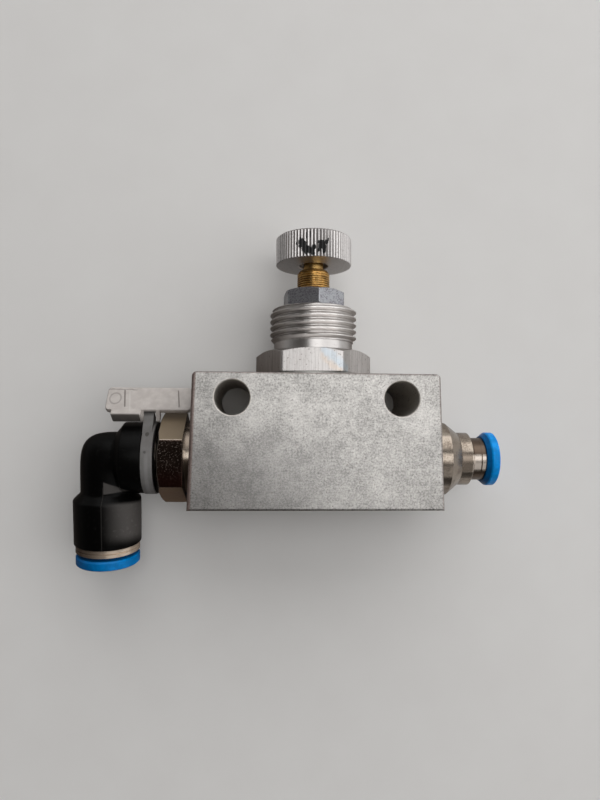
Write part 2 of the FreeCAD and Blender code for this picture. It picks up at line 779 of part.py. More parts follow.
def make_elbow_stud():
    """Screwed hexagon stud with a collar and the spigot on which the elbow swivels."""
    body = new_body("elbow_stud")
    flats = hexagon(size.elbow_hex, size.elbow_hex_turn)
    extruded(body, "hexagon", "YZ_Plane", flats, size.elbow_hex_long, -ELBOW_HEX_END)
    hex_chamfer(body, "outer", "X", -ELBOW_HEX_END, size.elbow_hex, 1.0)
    hex_chamfer(body, "inner", "X", -ELBOW_HEX_START, size.elbow_hex, -1.0)
    tip = size.male_long - PORT_FACE
    ring_end = SWIVEL_RING + size.swivel_ring_wide
    ring_root = size.spigot_radius - 2 * size.swivel_ring_wire - size.seal_gap
    clip_end = CLIP_START + size.clip_thick + size.inner_play
    profile = [
        (tip, 0.0), (tip, MALE_RADIUS - 0.6), (tip - 0.6, MALE_RADIUS), (-SEAL_FACE, MALE_RADIUS),
        (-SEAL_FACE, SEAL_OUTER + size.seal_gap), (-FLANGE_FACE, SEAL_OUTER + size.seal_gap),
        (-FLANGE_FACE, size.elbow_collar_radius), (-ELBOW_HEX_START - 0.3, size.elbow_collar_radius),
        (-ELBOW_HEX_START - 0.3, size.spigot_radius), (-CLIP_START + size.inner_play, size.spigot_radius),
        (-CLIP_START + size.inner_play, size.spigot_radius - 0.5), (-clip_end, size.spigot_radius - 0.5),
        (-clip_end, size.spigot_radius), (-SWIVEL_RING, size.spigot_radius),
        (-SWIVEL_RING, ring_root), (-ring_end, ring_root), (-ring_end, size.spigot_radius),
        (-SPIGOT_END + 0.3, size.spigot_radius), (-SPIGOT_END, size.spigot_radius - 0.3),
        (-SPIGOT_END, 0.0),
    ]
    turned(body, "turning", "X", profile)
    way = [
        (tip + 1.0, 0.0), (tip + 1.0, size.elbow_way + 0.2), (-SPIGOT_END - 1.0, size.elbow_way + 0.2),
        (-SPIGOT_END - 1.0, 0.0),
    ]
    turned(body, "way", "X", way, cut=True)
    place(body)
    return body


def make_elbow_body():
    """Moulded elbow: a cup over the spigot, a mitred corner and a stepped tube branch."""
    cup = new_body("elbow_cup")
    neck = size.elbow_neck_radius
    start = ELBOW_NECK_START
    groove_start = STRAP_START - size.inner_play
    groove_end = STRAP_END + size.inner_play
    profile = [
        (-start, 0.0), (-start, neck - 0.15), (-start - 0.15, neck), (-groove_start, neck),
        (-groove_start, size.rim_groove), (-groove_end, size.rim_groove), (-groove_end, neck),
        (-ELBOW_NECK_END, neck), (-ELBOW_SHOULDER_END, size.elbow_small_radius),
        (-ELBOW_BRANCH, size.elbow_small_radius), (-ELBOW_BRANCH, 0.0),
    ]
    turned(cup, "cup", "X", profile)
    branch = new_body("elbow_tube_branch")
    points = [
        (0.0, 0.0), (0.0, size.elbow_small_radius), (-size.elbow_cone_start, size.elbow_small_radius),
        (-ELBOW_CONE_END, size.elbow_tube_radius), (-ELBOW_END + 0.2, size.elbow_mouth_radius),
        (-ELBOW_END, size.elbow_mouth_radius - 0.2), (-ELBOW_END, 0.0),
    ]
    turned(branch, "branch", "Y", points)
    place(branch, x=-ELBOW_BRANCH, z=0.0)
    radius = size.elbow_small_radius
    along = cylinder("corner_along", radius, radius, -ELBOW_BRANCH - radius, 0.0, 0.0, (1, 0, 0))
    down = cylinder("corner_down", radius, 2 * radius, -ELBOW_BRANCH, -radius, 0.0, (0, 1, 0))
    prism = new_body("corner_prism")
    left = -ELBOW_BRANCH - radius
    square = [(left, -radius), (-ELBOW_BRANCH, -radius), (-ELBOW_BRANCH, radius), (left, radius)]
    extruded(prism, "square", "XY_Plane", square, 2 * radius, -radius)
    rounded(
        prism, "corner", size.elbow_corner,
        lambda middle, edge: middle.y > radius.value - 0.1 and middle.x < left.value + 0.1 and abs(middle.z) < 0.1,
    )
    mitre = doc.addObject("Part::MultiCommon", "corner_mitre")
    mitre.Shapes = [along, down, prism]
    solid = fused("elbow_solid", [cup, branch, mitre])
    clip_end = CLIP_START + size.clip_thick + size.part_gap + size.inner_play
    clip_room = size.clip_radius + size.inner_play
    spigot_bore = size.spigot_radius + size.slide_gap
    floor = SPIGOT_END + size.part_gap + size.inner_play
    hollow = new_body("elbow_cup_bore")
    bore = [
        (-start + 1.0, 0.0), (-start + 1.0, clip_room), (-clip_end, clip_room), (-clip_end, spigot_bore),
        (-floor, spigot_bore), (-floor, size.elbow_way), (-ELBOW_BRANCH, size.elbow_way), (-ELBOW_BRANCH, 0.0),
    ]
    turned(hollow, "bore", "X", bore)
    socket = new_body("elbow_branch_bore")
    points = [
        (size.elbow_way, 0.0), (size.elbow_way, size.elbow_way), (-ELBOW_STOP, size.elbow_way), (-ELBOW_STOP, ELBOW_WAY),
        (-ELBOW_POCKET, ELBOW_WAY), (-ELBOW_POCKET, size.elbow_pocket_radius),
        (-ELBOW_END - 1.0, size.elbow_pocket_radius), (-ELBOW_END - 1.0, 0.0),
    ]
    turned(socket, "bore", "Y", points)
    place(socket, x=-ELBOW_BRANCH, z=0.0)
    elbow = cut_away("elbow_body", solid, fused("elbow_hollow", [hollow, socket]))
    place(elbow, lean=size.elbow_turn)
    return elbow


def make_elbow_collet_sleeve():
    """Plated sleeve in the branch: its rim with one groove shows outside."""
    body = new_body("elbow_collet_sleeve")
    outer = size.elbow_pocket_radius - size.press_gap
    inner = ELBOW_WAY + size.shank_wall + 0.13
    start = ELBOW_COLLET - size.inner_play
    end = ELBOW_END
    rim = end + size.elbow_sleeve_rim
    middle = (end + rim) / 2
    radius = size.elbow_ring_radius
    profile = [
        (-start, inner), (-rim, inner), (-rim, radius - 0.15), (-rim + 0.15, radius), (-middle - 0.15, radius),
        (-middle, radius - size.elbow_sleeve_groove), (-middle + 0.15, radius), (-end - 0.15, radius),
        (-end, radius - 0.15), (-end, outer), (-start, outer),
    ]
    turned(body, "turning", "Y", profile)
    place(body, x=-ELBOW_BRANCH, lean=size.elbow_turn)
    return body


# Marker tie


def make_marker_tie():
    """One moulding: a strap round the elbow's neck, a head, a flat marker plate and a rail below it."""
    strap = new_body("tie_strap")
    inner = size.strap_radius - size.strap_thick
    turned(
        strap, "strap", "X",
        [(-STRAP_START, inner), (-STRAP_END, inner), (-STRAP_END, size.strap_radius), (-STRAP_START, size.strap_radius)],
    )
    back = size.plate_out - size.plate_thick
    plate = new_body("tie_plate")
    right = -(size.base_length / 2 + size.part_gap)
    left = right - size.plate_long
    top = size.plate_low + size.plate_wide
    face = [(left, size.plate_low), (right, size.plate_low), (right, top), (left, top)]
    extruded(plate, "plate", "XY_Plane", face, size.plate_thick, back)
    rounded(
        plate, "corners", size.plate_round,
        lambda spot, edge: abs(spot.z - (back.value + size.plate_thick.value / 2)) < 0.1,
    )
    under = size.plate_out - size.head_set_back
    play = size.inner_play / 2
    head_bottom = under - size.head_deep
    pillar = (size.head_pillar, size.head_wide, size.head_deep)
    left_pillar = box("tie_left_pillar", (-STRAP_END - play - size.head_pillar, size.head_low, head_bottom), pillar)
    right_pillar = box("tie_right_pillar", (-STRAP_START + play, size.head_low, head_bottom), pillar)
    rail = box(
        "tie_rail", (left + size.rail_inset, size.rail_low, under - size.rail_deep),
        (-STRAP_END - size.head_pillar - left - size.rail_inset, size.rail_wide, size.rail_deep),
    )
    reach = size.strap_radius - size.strap_thick / 2
    core_low = reach * cosine(size.plate_lean) - size.strap_thick
    core = box(
        "tie_core", (-STRAP_END - size.inner_play, size.head_low + size.inner_play, core_low),
        (size.strap_wide - size.head_gap, size.head_wide - size.inner_play, under - size.head_sink - core_low),
    )
    tie = fused("marker_tie", [strap, plate, rail, left_pillar, right_pillar, core])
    tie.Label = "marker_tie"
    place(tie, lean=-size.plate_lean)
    return tie


# All sub-parts


def make_all():
    elbow_head = ELBOW_END + size.elbow_sleeve_rim + size.elbow_ring_gap
    branch = {"x": -ELBOW_BRANCH, "lean": size.elbow_turn}
    ring_middle = RING_GROOVE_LOW + size.ring_groove_wide / 2
    sleeve_ring_middle = SLEEVE_RING_LOW + size.sleeve_ring_wide / 2
    straight_head = STRAIGHT_END + size.straight_sleeve_rim + size.inner_play
    straight_shank = STRAIGHT_COLLET + size.collet_long + 0.2
    swivel_middle = SWIVEL_RING + size.swivel_ring_wide / 2
    return [
        make_valve_body(),
        ring(
            "bonnet_gasket", "Y", BODY_TOP, BONNET_SEAT, size.bonnet_bore + size.inner_play, size.gasket_radius,
        ),
        make_bonnet(),
        make_lock_nut(),
        make_spindle(),
        wire_ring("spindle_seal", "Y", ring_middle, PISTON_RADIUS - size.ring_wire, size.ring_wire),
        make_knob(),
        make_throttle_sleeve(),
        make_check_collar(),
        wire_ring("sleeve_seal", "Y", sleeve_ring_middle, SLEEVE_RING_RADIUS, size.sleeve_ring_wire),
        make_straight_body(),
        ring("straight_port_seal", "X", PORT_FACE, SEAL_FACE, size.port_radius, SEAL_OUTER),
        make_straight_collet_sleeve(),
        ring(
            "straight_collet", "X", STRAIGHT_COLLET, STRAIGHT_COLLET + size.collet_long, STRAIGHT_WAY + size.press_gap,
            STRAIGHT_WAY + size.shank_wall,
        ),
        ring(
            "straight_tube_seal", "X", STRAIGHT_SEAL, STRAIGHT_SEAL + size.tube_seal_long, STRAIGHT_WAY,
            size.straight_pocket_radius - size.seal_gap,
        ),
        make_release_ring(
            "straight_release_ring", "X", STRAIGHT_WAY, straight_shank, straight_head,
            straight_head + size.straight_ring_long, size.straight_ring_radius, size.straight_ring_chamfer,
        ),
        make_elbow_stud(),
        ring("elbow_port_seal", "X", -SEAL_FACE, -PORT_FACE, size.port_radius, SEAL_OUTER),
        wire_ring(
            "swivel_seal", "X", -swivel_middle, size.spigot_radius - size.swivel_ring_wire, size.swivel_ring_wire,
        ),
        ring(
            "swivel_clip", "X", -CLIP_START - size.clip_thick, -CLIP_START, size.spigot_radius - 0.45,
            size.clip_radius,
        ),
        make_elbow_body(),
        make_elbow_collet_sleeve(),
        ring(
            "elbow_collet", "Y", -ELBOW_COLLET - size.collet_long, -ELBOW_COLLET, ELBOW_WAY + size.press_gap,
            ELBOW_WAY + size.shank_wall, **branch,
        ),
        ring(
            "elbow_tube_seal", "Y", -ELBOW_SEAL - size.tube_seal_long, -ELBOW_SEAL, ELBOW_WAY,
            size.elbow_pocket_radius - size.seal_gap, **branch,
        ),
        make_release_ring(
            "elbow_release_ring", "Y", ELBOW_WAY, -ELBOW_RING_SHANK, -elbow_head,
            -elbow_head - size.elbow_ring_long, size.elbow_ring_radius, 0.35, **branch,
        ),
        make_marker_tie(),
    ]


subparts = make_all()
doc.recompute()

faults = [item.Name for item in doc.Objects if {"Invalid", "Error"} & set(item.State)]
if faults:
    raise ValueError(f"failed objects: {faults}")
for item in subparts:
    shape = item.Shape
    if shape.isNull() or not shape.isValid() or len(shape.Solids) != 1:
        raise ValueError(f"{item.Label} is not one valid solid ({len(shape.Solids)} solids)")
for item in subparts:
    item.Shape.exportStep(f"parts/{item.Label}.step")
    box_now = item.Shape.BoundBox
    print(
        f"{item.Label:24s} {item.Shape.Volume:9.2f} mm3 "
        f"X {box_now.XMin:7.2f} {box_now.XMax:7.2f} Y {box_now.YMin:7.2f} {box_now.YMax:7.2f} "
        f"Z {box_now.ZMin:7.2f} {box_now.ZMax:7.2f}"
    )
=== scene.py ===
# %% [markdown]
# # A throttle valve for compressed air, piece by piece
# The valve lies on its back and the camera looks down on its front. The solids come packed, in metres: X goes
# along the two ports, Y along the needle towards the knob and Z out of the front face. Solids whose shape is
# right only get a finish. Threads, knurling, hexagons, the moulded elbow and the nylon tie are drawn anew, as
# surfaces worked out with numpy.

# %% Load the solids
import json
import math

import bmesh
import bpy
import numpy as np
from mathutils import Matrix, Vector


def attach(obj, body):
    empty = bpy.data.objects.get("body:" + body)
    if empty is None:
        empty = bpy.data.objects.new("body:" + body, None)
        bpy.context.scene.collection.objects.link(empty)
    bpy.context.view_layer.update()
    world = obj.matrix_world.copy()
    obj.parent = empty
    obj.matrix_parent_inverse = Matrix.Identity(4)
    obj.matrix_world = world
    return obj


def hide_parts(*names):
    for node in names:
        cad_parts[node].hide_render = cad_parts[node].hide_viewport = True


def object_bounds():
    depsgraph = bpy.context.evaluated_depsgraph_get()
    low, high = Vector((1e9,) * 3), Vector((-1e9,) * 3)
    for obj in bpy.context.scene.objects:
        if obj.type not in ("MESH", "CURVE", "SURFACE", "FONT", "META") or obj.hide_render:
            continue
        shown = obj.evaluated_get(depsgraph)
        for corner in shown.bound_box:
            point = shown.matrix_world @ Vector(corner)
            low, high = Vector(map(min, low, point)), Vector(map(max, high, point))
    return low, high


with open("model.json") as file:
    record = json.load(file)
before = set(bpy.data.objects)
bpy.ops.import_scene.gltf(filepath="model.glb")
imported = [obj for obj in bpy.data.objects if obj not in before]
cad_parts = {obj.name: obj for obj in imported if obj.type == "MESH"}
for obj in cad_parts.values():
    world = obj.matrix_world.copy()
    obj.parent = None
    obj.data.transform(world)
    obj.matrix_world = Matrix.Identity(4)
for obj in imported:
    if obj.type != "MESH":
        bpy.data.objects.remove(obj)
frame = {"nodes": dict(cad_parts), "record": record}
cad_low, cad_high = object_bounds()
nodes = frame["nodes"]
MM = 0.001
AXIS_HIGH = 13.0  # of the ports' axis and the needle's axis above the block's back
print("solids:", len(nodes), "box in mm:", [round(v / MM, 2) for v in (*cad_low, *cad_high)])

# %% [markdown]
# ## Finishes as sums
# A finish is a network of nodes. It could be wired by hand in the node editor, but Python's own operators say it
# better: one small class wraps a value's socket, and an expression such as 1 - mask * 0.4 adds the nodes that
# work it out.

# %% Values in a finish
class Signal:
    """A socket of a network that can be added, scaled and compared."""

    def __init__(self, network, socket):
        self.network, self.socket = network, socket

    def math(self, operation, *values):
        return self.network.add("ShaderNodeMath", {"operation": operation}, dict(enumerate(values)))

    def __add__(self, other):
        return self.math("ADD", self, other)

    def __sub__(self, other):
        return self.math("SUBTRACT", self, other)

    def __rsub__(self, other):
        return self.math("SUBTRACT", other, self)

    def __mul__(self, other):
        return self.math("MULTIPLY", self, other)

    def __truediv__(self, other):
        return self.math("DIVIDE", self, other)

    def __rtruediv__(self, other):
        return self.math("DIVIDE", other, self)

    __radd__, __rmul__ = __add__, __mul__

    def larger(self, other):
        return self.math("MAXIMUM", self, other)

    def smaller(self, other):
        return self.math("MINIMUM", self, other)

    def size(self):
        return self.math("ABSOLUTE", self)

    def root(self):
        return self.math("SQRT", self)

    def rise(self, low, high):
        """0 below low, 1 above high, and a smooth step between; low may be the larger of the two."""
        settings = {"interpolation_type": "SMOOTHSTEP"}
        if low < high:
            return self.network.add("ShaderNodeMapRange", settings, {"Value": self, 1: low, 2: high})
        return 1.0 - self.network.add("ShaderNodeMapRange", settings, {"Value": self, 1: high, 2: low})


print("made:", Signal.__name__)

# %% [markdown]
# ## The network
# Every node comes from one method, so a network is built in the same way for a piece, the floor and the sky.

# %% Network
class Network:
    """A tree of nodes that grows by one method."""

    def __init__(self, tree):
        self.tree = tree

    def add(self, kind, settings=None, inputs=None, out=0):
        """Add a node: its settings first, then its sockets' values or links."""
        node = self.tree.nodes.new(kind)
        for name, value in (settings or {}).items():
            setattr(node, name, value)
        for key, value in (inputs or {}).items():
            if isinstance(value, Signal):
                self.tree.links.new(value.socket, node.inputs[key])
            else:
                node.inputs[key].default_value = value
        return Signal(self, node.outputs[out])

    def mix(self, factor, first, second):
        """The first colour where the factor is 0 and the second where it is 1."""
        inputs = {0: factor}
        for key, value in ((6, first), (7, second)):
            inputs[key] = value if isinstance(value, Signal) else (*value, 1.0)
        return self.add("ShaderNodeMix", {"data_type": "RGBA"}, inputs, out=2)


print("made:", Network.__name__)

# %% [markdown]
# ## The finish
# A finish is a network with the shader at its end. Numbers that are the same all over are set on the shader
# itself. Places are measured in millimetres on the piece, so a pattern moves with it.

# %% Finish
class Finish(Network):
    """One material, wired to the shader's own sockets."""

    def __init__(self, slot, **constants):
        self.slot = slot
        self.material = bpy.data.materials.new(slot)
        self.material.use_nodes = True
        super().__init__(self.material.node_tree)
        self.shader = self.tree.nodes["Principled BSDF"]
        for name, value in constants.items():
            self.shader.inputs[name.replace("_", " ")].default_value = value
        place = self.add("ShaderNodeTexCoord", out="Object")
        self.place = self.add("ShaderNodeVectorMath", {"operation": "SCALE"}, {0: place, "Scale": 1 / MM})
        self.x, self.y, self.z = (
            self.add("ShaderNodeSeparateXYZ", {}, {0: self.place}, out=axis) for axis in "XYZ"
        )

    def stretched(self, x, y, z):
        return self.add("ShaderNodeVectorMath", {"operation": "MULTIPLY"}, {0: self.place, 1: (x, y, z)})

    def point(self, x, y, z):
        return self.add("ShaderNodeCombineXYZ", {}, {0: x, 1: y, 2: z})

    def noise(self, per_mm, detail=2.0, vector=None):
        inputs = {"Vector": vector or self.place, "Scale": per_mm, "Detail": detail}
        return self.add("ShaderNodeTexNoise", {}, inputs)

    def feed(self, **signals):
        for name, signal in signals.items():
            self.tree.links.new(signal.socket, self.shader.inputs[name.replace("_", " ")])

    def bump(self, height, depth_mm):
        """Tilt the surface by a height that runs from 0 to 1 over a depth in mm."""
        inputs = {"Height": height, "Distance": depth_mm * MM, "Strength": 1.0}
        self.feed(Normal=self.add("ShaderNodeBump", {}, inputs))


print("made:", Finish.__name__)

# %% [markdown]
# ## The cast block
# The block is a die casting that was blasted. Its skin is metal, finely pitted, so it mirrors only a blurred
# light. Three sizes of noise make it up: the pits, the blotches and a slow cloud, and painted shade darkens the
# lower left corner. Where a cutter went, round the two holes, it is smooth.

# %% Cast block finish
BLOCK_LOW, BLOCK_TOP, BLOCK_FRONT = -10.45, 18.55, 26.0
BLOCK_HALF, DRAFT = 27.1, math.radians(1.44)  # half its lowest width, and its sides' lean
HOLE_OUT, HOLE_UP, HOLE_MOUTH = 18.0, 13.15, 3.99

block = Finish("cast_block")
grain = block.noise(2.5, 2.0) * 0.6 + block.noise(5.5, 2.0) * 0.4
tone = grain * 0.62 + block.noise(0.9, 2.0) * 0.18 + block.noise(0.16, 3.0) * 0.2
skin = block.mix(tone.rise(0.34, 0.66), (0.185, 0.18, 0.172), (0.53, 0.511, 0.488))
# Painted shade: the lower left corner is made darker.
painted_shade_lower_left = block.x.rise(14.0, -14.0) * block.y.rise(13.0, -3.0)
skin = block.mix(painted_shade_lower_left * 0.4, skin, (0.15, 0.145, 0.145))
print("finish begun:", block.slot)

# %% [markdown]
# Painted shade darkens the front's rounded edges, most of all on the left, and a few specks are dirt. The
# distance from a side follows the side's lean.

# %% Cast block edges and holes
def length(across, along):
    """Length of a step: the root of the sum of the squares of its two parts."""
    return (across * across + along * along).root()


side = BLOCK_HALF - (block.y - BLOCK_LOW) * math.tan(DRAFT)
# Painted shade along the front's left, right and top edges.
left_edge = (side + block.x).rise(1.0, 0.6)
right_edge = (side - block.x).rise(0.5, 0.3) * 0.5
top_edge = block.y.rise(BLOCK_TOP - 0.45, BLOCK_TOP - 0.15) * 0.6
rim = left_edge.larger(right_edge).larger(top_edge) * block.z.rise(BLOCK_FRONT - 1.0, BLOCK_FRONT - 0.6)
speck = block.noise(1.9, 3.0).rise(0.70, 0.76)
# The painted edge shade and the specks of dirt, together.
edge_shade_and_specks = (rim * 0.75).larger(speck * 0.6)
skin = block.mix(edge_shade_and_specks, skin, (0.13, 0.075, 0.06))
above_hole = block.y - HOLE_UP
from_hole = length(block.x + HOLE_OUT, above_hole).smaller(length(block.x - HOLE_OUT, above_hole))
machined = from_hole.rise(HOLE_MOUTH + 0.03, HOLE_MOUTH - 0.03)
block.feed(
    Base_Color=block.mix(machined, skin, (0.64, 0.605, 0.56)),
    Metallic=0.80 - machined * 0.28 - edge_shade_and_specks * 0.5,
    Roughness=0.22 + grain * 0.14,
)
block.bump(grain, 0.009)
print("finish:", block.slot)

# %% [markdown]
# ## Turned metals
# Turned metal has fine rings left by the tool. A ring is drawn by noise that only changes along the axis and
# with the distance from it, so each ring closes on itself. Tarnish is a cloud cut off at a level, with flecks
# in it, and the lock nut's zinc has the most.

# %% Turned metals
def turned(finish, axis, rings):
    """Distance from the needle's axis, Y, or the ports' axis, X, and the tool's rings, so many a mm."""
    across, along = (finish.x, finish.y) if axis == "Y" else (finish.y, finish.x)
    out = length(across, finish.z - AXIS_HIGH)
    return out, finish.noise(1.0, 2.0, finish.point(along * rings, out * rings, 0.0))


def turned_metal(slot, colour, dark, rough, axis, rings=9.0, darkening=0.25):
    """A metal with tool rings about an axis and a faint cloud of tarnish."""
    finish = Finish(slot, Metallic=1.0)
    ring = turned(finish, axis, rings)[1]
    cloud = (finish.noise(0.45, 4.0) * 0.35 + finish.noise(3.2, 3.0) * 0.65).rise(0.45, 0.61)
    finish.feed(
        Base_Color=finish.mix(cloud * darkening, colour, dark),
        Roughness=rough + ring * 0.08 + cloud * 0.08,
    )
    finish.bump(ring, 0.004)
    print("finish:", slot)
    return finish


zinc_plate = turned_metal(
    "zinc_plate", (0.37, 0.38, 0.40), (0.13, 0.105, 0.13), 0.34, "Y", rings=6.0, darkening=0.7,
)
sleeve_metal = turned_metal("sleeve_metal", (0.74, 0.60, 0.34), (0.5, 0.38, 0.2), 0.24, "Y")
stainless = turned_metal("stainless", (0.62, 0.62, 0.61), (0.4, 0.4, 0.4), 0.18, "X")

# %% [markdown]
# ## Nickel plate
# The plated pieces share one finish, and each has its own place along X. The straight fitting is on the right:
# painted shade darkens its neck above and below and a band of its body, and painted highlights lie on the neck's
# middle and on the step before it. On the left come the stud's collar, with painted shade above and below a
# bright band, and its hexagon, and beyond them the elbow's sleeve.

# %% Nickel plate, tarnish, painted shade and painted highlights
STEP_X, NECK_X, JOINT_X = 35.98, 36.2, 38.25  # on the straight fitting

nickel = Finish("nickel")
x, y = nickel.x, nickel.y
ring = turned(nickel, "X", 6.0)[1]
cloud = (nickel.noise(0.45, 4.0) * 0.6 + nickel.noise(3.2, 3.0) * 0.4).rise(0.46, 0.66)
joint = (x - JOINT_X).size().rise(0.2, 0.1)
on_neck = x.rise(NECK_X - 0.05, NECK_X + 0.1)
# Painted shade: bands on the neck, the collar and the body are darkened.
neck = on_neck * y.rise(0.7, 1.4).larger(y.rise(-2.2, -3.0))
on_collar = x.rise(-28.8, -28.7) * x.rise(0.0, -1.0)
collar = on_collar * y.rise(2.0, 2.6).larger(y.rise(0.3, -0.3) * 1.6)
on_body = x.rise(33.2, 33.4) * x.rise(35.8, 35.6)
body = on_body * y.rise(-3.0, -2.4) * y.rise(1.9, 1.5)
darkening = (neck * 0.85).larger(collar * 0.5).larger(body * 0.5)
# A cloud of tarnish and the dark joint, with the painted shade.
dirt_and_painted_light = (cloud * 0.6).larger(joint * 0.9).larger(darkening)
plate = nickel.mix(dirt_and_painted_light, (0.345, 0.295, 0.245), (0.075, 0.048, 0.033))
# Painted highlights on the neck's middle and on the step.
neck_highlight = x.rise(NECK_X + 0.1, NECK_X + 0.3) * (1.0 - joint) * y.rise(-2.8, -2.0)
step_highlight = (x - STEP_X).size().rise(0.22, 0.1) * y.rise(-5.4, -4.4)
painted_highlight = neck_highlight.larger(step_highlight) * y.rise(1.4, 0.7)
plate = nickel.mix(painted_highlight * 0.85, plate, (0.66, 0.58, 0.51))
print("finish begun:", nickel.slot)

# %% [markdown]
# The stud's flats are painted by how the light falls on each: the front flat is painted nearly black as painted
# shade, darker towards the bottom, with pale specks, and the flats beside it are painted brown as a painted
# reflection of the floor and hardly mirror. A flat is found by how far a point reaches along the flat's own
# direction, which is half the width all over it.

# %% Nickel plate, stud and sleeve
STUD_LEFT, STUD_RIGHT = -34.0, -28.5
STUD_FLATS, STUD_TURN = 17.8, 5.9


def stud_flat(middle):
    """1 on the stud's flat whose middle lies at an angle in degrees round the ports' axis, and 0 elsewhere."""
    way = math.radians(middle)
    reach = nickel.y * math.cos(way) + (nickel.z - AXIS_HIGH) * math.sin(way)
    along = nickel.x.rise(STUD_RIGHT + 0.3, STUD_RIGHT + 0.1) * nickel.x.rise(STUD_LEFT - 0.4, STUD_LEFT - 0.2)
    return reach.rise(STUD_FLATS / 2 - 0.015, STUD_FLATS / 2 - 0.003) * along


front_flat, upper_flat, lower_flat = (stud_flat(angle + STUD_TURN) for angle in (90.0, 30.0, 150.0))
side_flats = upper_flat + lower_flat
speck = nickel.noise(3.0, 3.0).rise(0.57, 0.66) * y.rise(-7.0, 1.0)
# Painted shade: the front flat is nearly black, darker towards the bottom, with pale specks.
front_flat_shade = nickel.mix(y.rise(0.0, -5.0), (0.075, 0.05, 0.04), (0.075, 0.03, 0.024))
plate = nickel.mix(front_flat, plate, nickel.mix(speck, front_flat_shade, (0.12, 0.10, 0.088)))
# Painted reflection: the upper and lower flats are painted brown.
plate = nickel.mix(upper_flat, plate, (0.232, 0.178, 0.118))
plate = nickel.mix(lower_flat, plate, (0.26, 0.17, 0.11))
on_sleeve = x.rise(-38.8, -39.2)
# Painted light on the elbow's sleeve: painted shade on its left and a painted highlight on its right.
sleeve_painted_shading = nickel.mix(x.rise(-52.0, -42.0), (0.09, 0.06, 0.042), (0.72, 0.59, 0.47))
# Less metal on the side flats, the sleeve and the painted highlights goes with their painted light.
nickel.feed(
    Base_Color=nickel.mix(on_sleeve, plate, sleeve_painted_shading),
    Metallic=1.0 - front_flat * speck * 0.85 - side_flats * 0.75 - on_sleeve * 0.45 - painted_highlight * 0.4,
    Roughness=0.14 + ring * 0.08 + cloud * 0.08 + darkening * 0.15 + side_flats * 0.2,
)
nickel.bump(ring, 0.004)
print("finish:", nickel.slot)

# %% [markdown]
# ## The bonnet's metal
# The bonnet is plain bar. Its flats keep the drawn bar's lines, which run along the needle, and everything else
# has tool rings. Painted shade darkens the thread's valleys and its left side, and a painted highlight makes the
# right flat paler.

# %% Bonnet metal
GASKET, HEX_HIGH, NECK_HIGH, NECK_RADIUS = 0.5, 5.15, 2.1, 9.04
SEAT = BLOCK_TOP + GASKET
HEX_TOP = SEAT + HEX_HIGH
NECK_TOP = HEX_TOP + NECK_HIGH

alloy = Finish("bonnet_metal", Metallic=1.0)
out, ring = turned(alloy, "Y", 7.0)
drawn = alloy.noise(1.0, 2.0, alloy.stretched(5.0, 0.12, 5.0))
on_flats = alloy.y.rise(HEX_TOP + 0.05, HEX_TOP - 0.05) * out.rise(9.3, 9.5)
on_thread = out.rise(NECK_RADIUS + 0.02, NECK_RADIUS + 0.08) * alloy.y.rise(NECK_TOP + 0.1, NECK_TOP + 0.5)
line = ring * (1.0 - on_flats) + drawn * on_flats
fleck = alloy.noise(2.4, 4.0).rise(0.55, 0.75)
spot = alloy.noise(1.7, 1.0).rise(0.70, 0.74) * on_flats
# Painted shade in the thread's valleys and on its left side.
valley = out.rise(9.6, 9.2) * on_thread
left = alloy.x.rise(-4.0, -9.0) * on_thread
scratch = line.rise(0.62, 0.35) * on_flats
dark = (valley * 0.3 + left * 0.4 + fleck * 0.25 + scratch * 0.3 + spot * 0.7).smaller(1.0)
bright = alloy.mix(on_thread, (0.54, 0.52, 0.507), (0.72, 0.695, 0.675))
# Painted highlight: the right flat is paler.
bright = alloy.mix(on_flats * alloy.x.rise(7.0, 7.6), bright, (0.72, 0.69, 0.675))
print("finish begun:", alloy.slot)

# %% [markdown]
# A trace of oil lies on the front flat. As such a film grows thicker its colour changes, here from amber to
# blue. So the thickness is a slope across the flat with some noise, and each colour is a band of it.

# %% Oil on the bonnet
oily = on_flats * alloy.z.rise(23.0, 23.6) * alloy.x.rise(0.2, 1.4) * 0.3
thick = (alloy.x - 4.0) * 0.6 + (alloy.y - 21.6) * 0.75 + (alloy.noise(0.8, 2.0) - 0.5) * 1.6
bright = alloy.mix(thick.size().rise(1.4, 0.3) * oily, bright, (0.42, 0.62, 0.78))
bright = alloy.mix((thick + 1.5).size().rise(0.9, 0.1) * oily * 0.5, bright, (0.80, 0.52, 0.25))
alloy.feed(
    Base_Color=alloy.mix(dark, bright, (0.15, 0.125, 0.115)),
    Roughness=0.24 + line * 0.1 + fleck * 0.1 + on_thread * 0.02,
)
alloy.bump(line, 0.005)
print("finish:", alloy.slot)

# %% [markdown]
# ## The spindle's brass
# The brass has gone brown in a cloud. Painted shade darkens its left side and its fine thread: below the
# crests' radius the colour goes darker, but for the last turns under the knob.

# %% Brass
SPINDLE_CREST = 3.78

brass = Finish("brass", Metallic=1.0)
out, ring = turned(brass, "Y", 8.0)
oxide = brass.noise(0.9, 4.0).rise(0.42, 0.66)
# Painted shade in the thread's roots and on the left side; the oxide cloud is real.
root = out.rise(SPINDLE_CREST - 0.02, SPINDLE_CREST - 0.18) * brass.y.rise(42.1, 41.8)
oxide_and_painted_shade = (root * 0.5 + oxide * 0.4 + brass.x.rise(-1.4, -3.4) * 0.4).smaller(1.0)
brass.feed(
    Base_Color=brass.mix(oxide_and_painted_shade, (0.80, 0.52, 0.19), (0.15, 0.07, 0.02)),
    Roughness=0.24 + ring * 0.08 + oxide * 0.1,
)
brass.bump(ring, 0.004)
print("finish:", brass.slot)

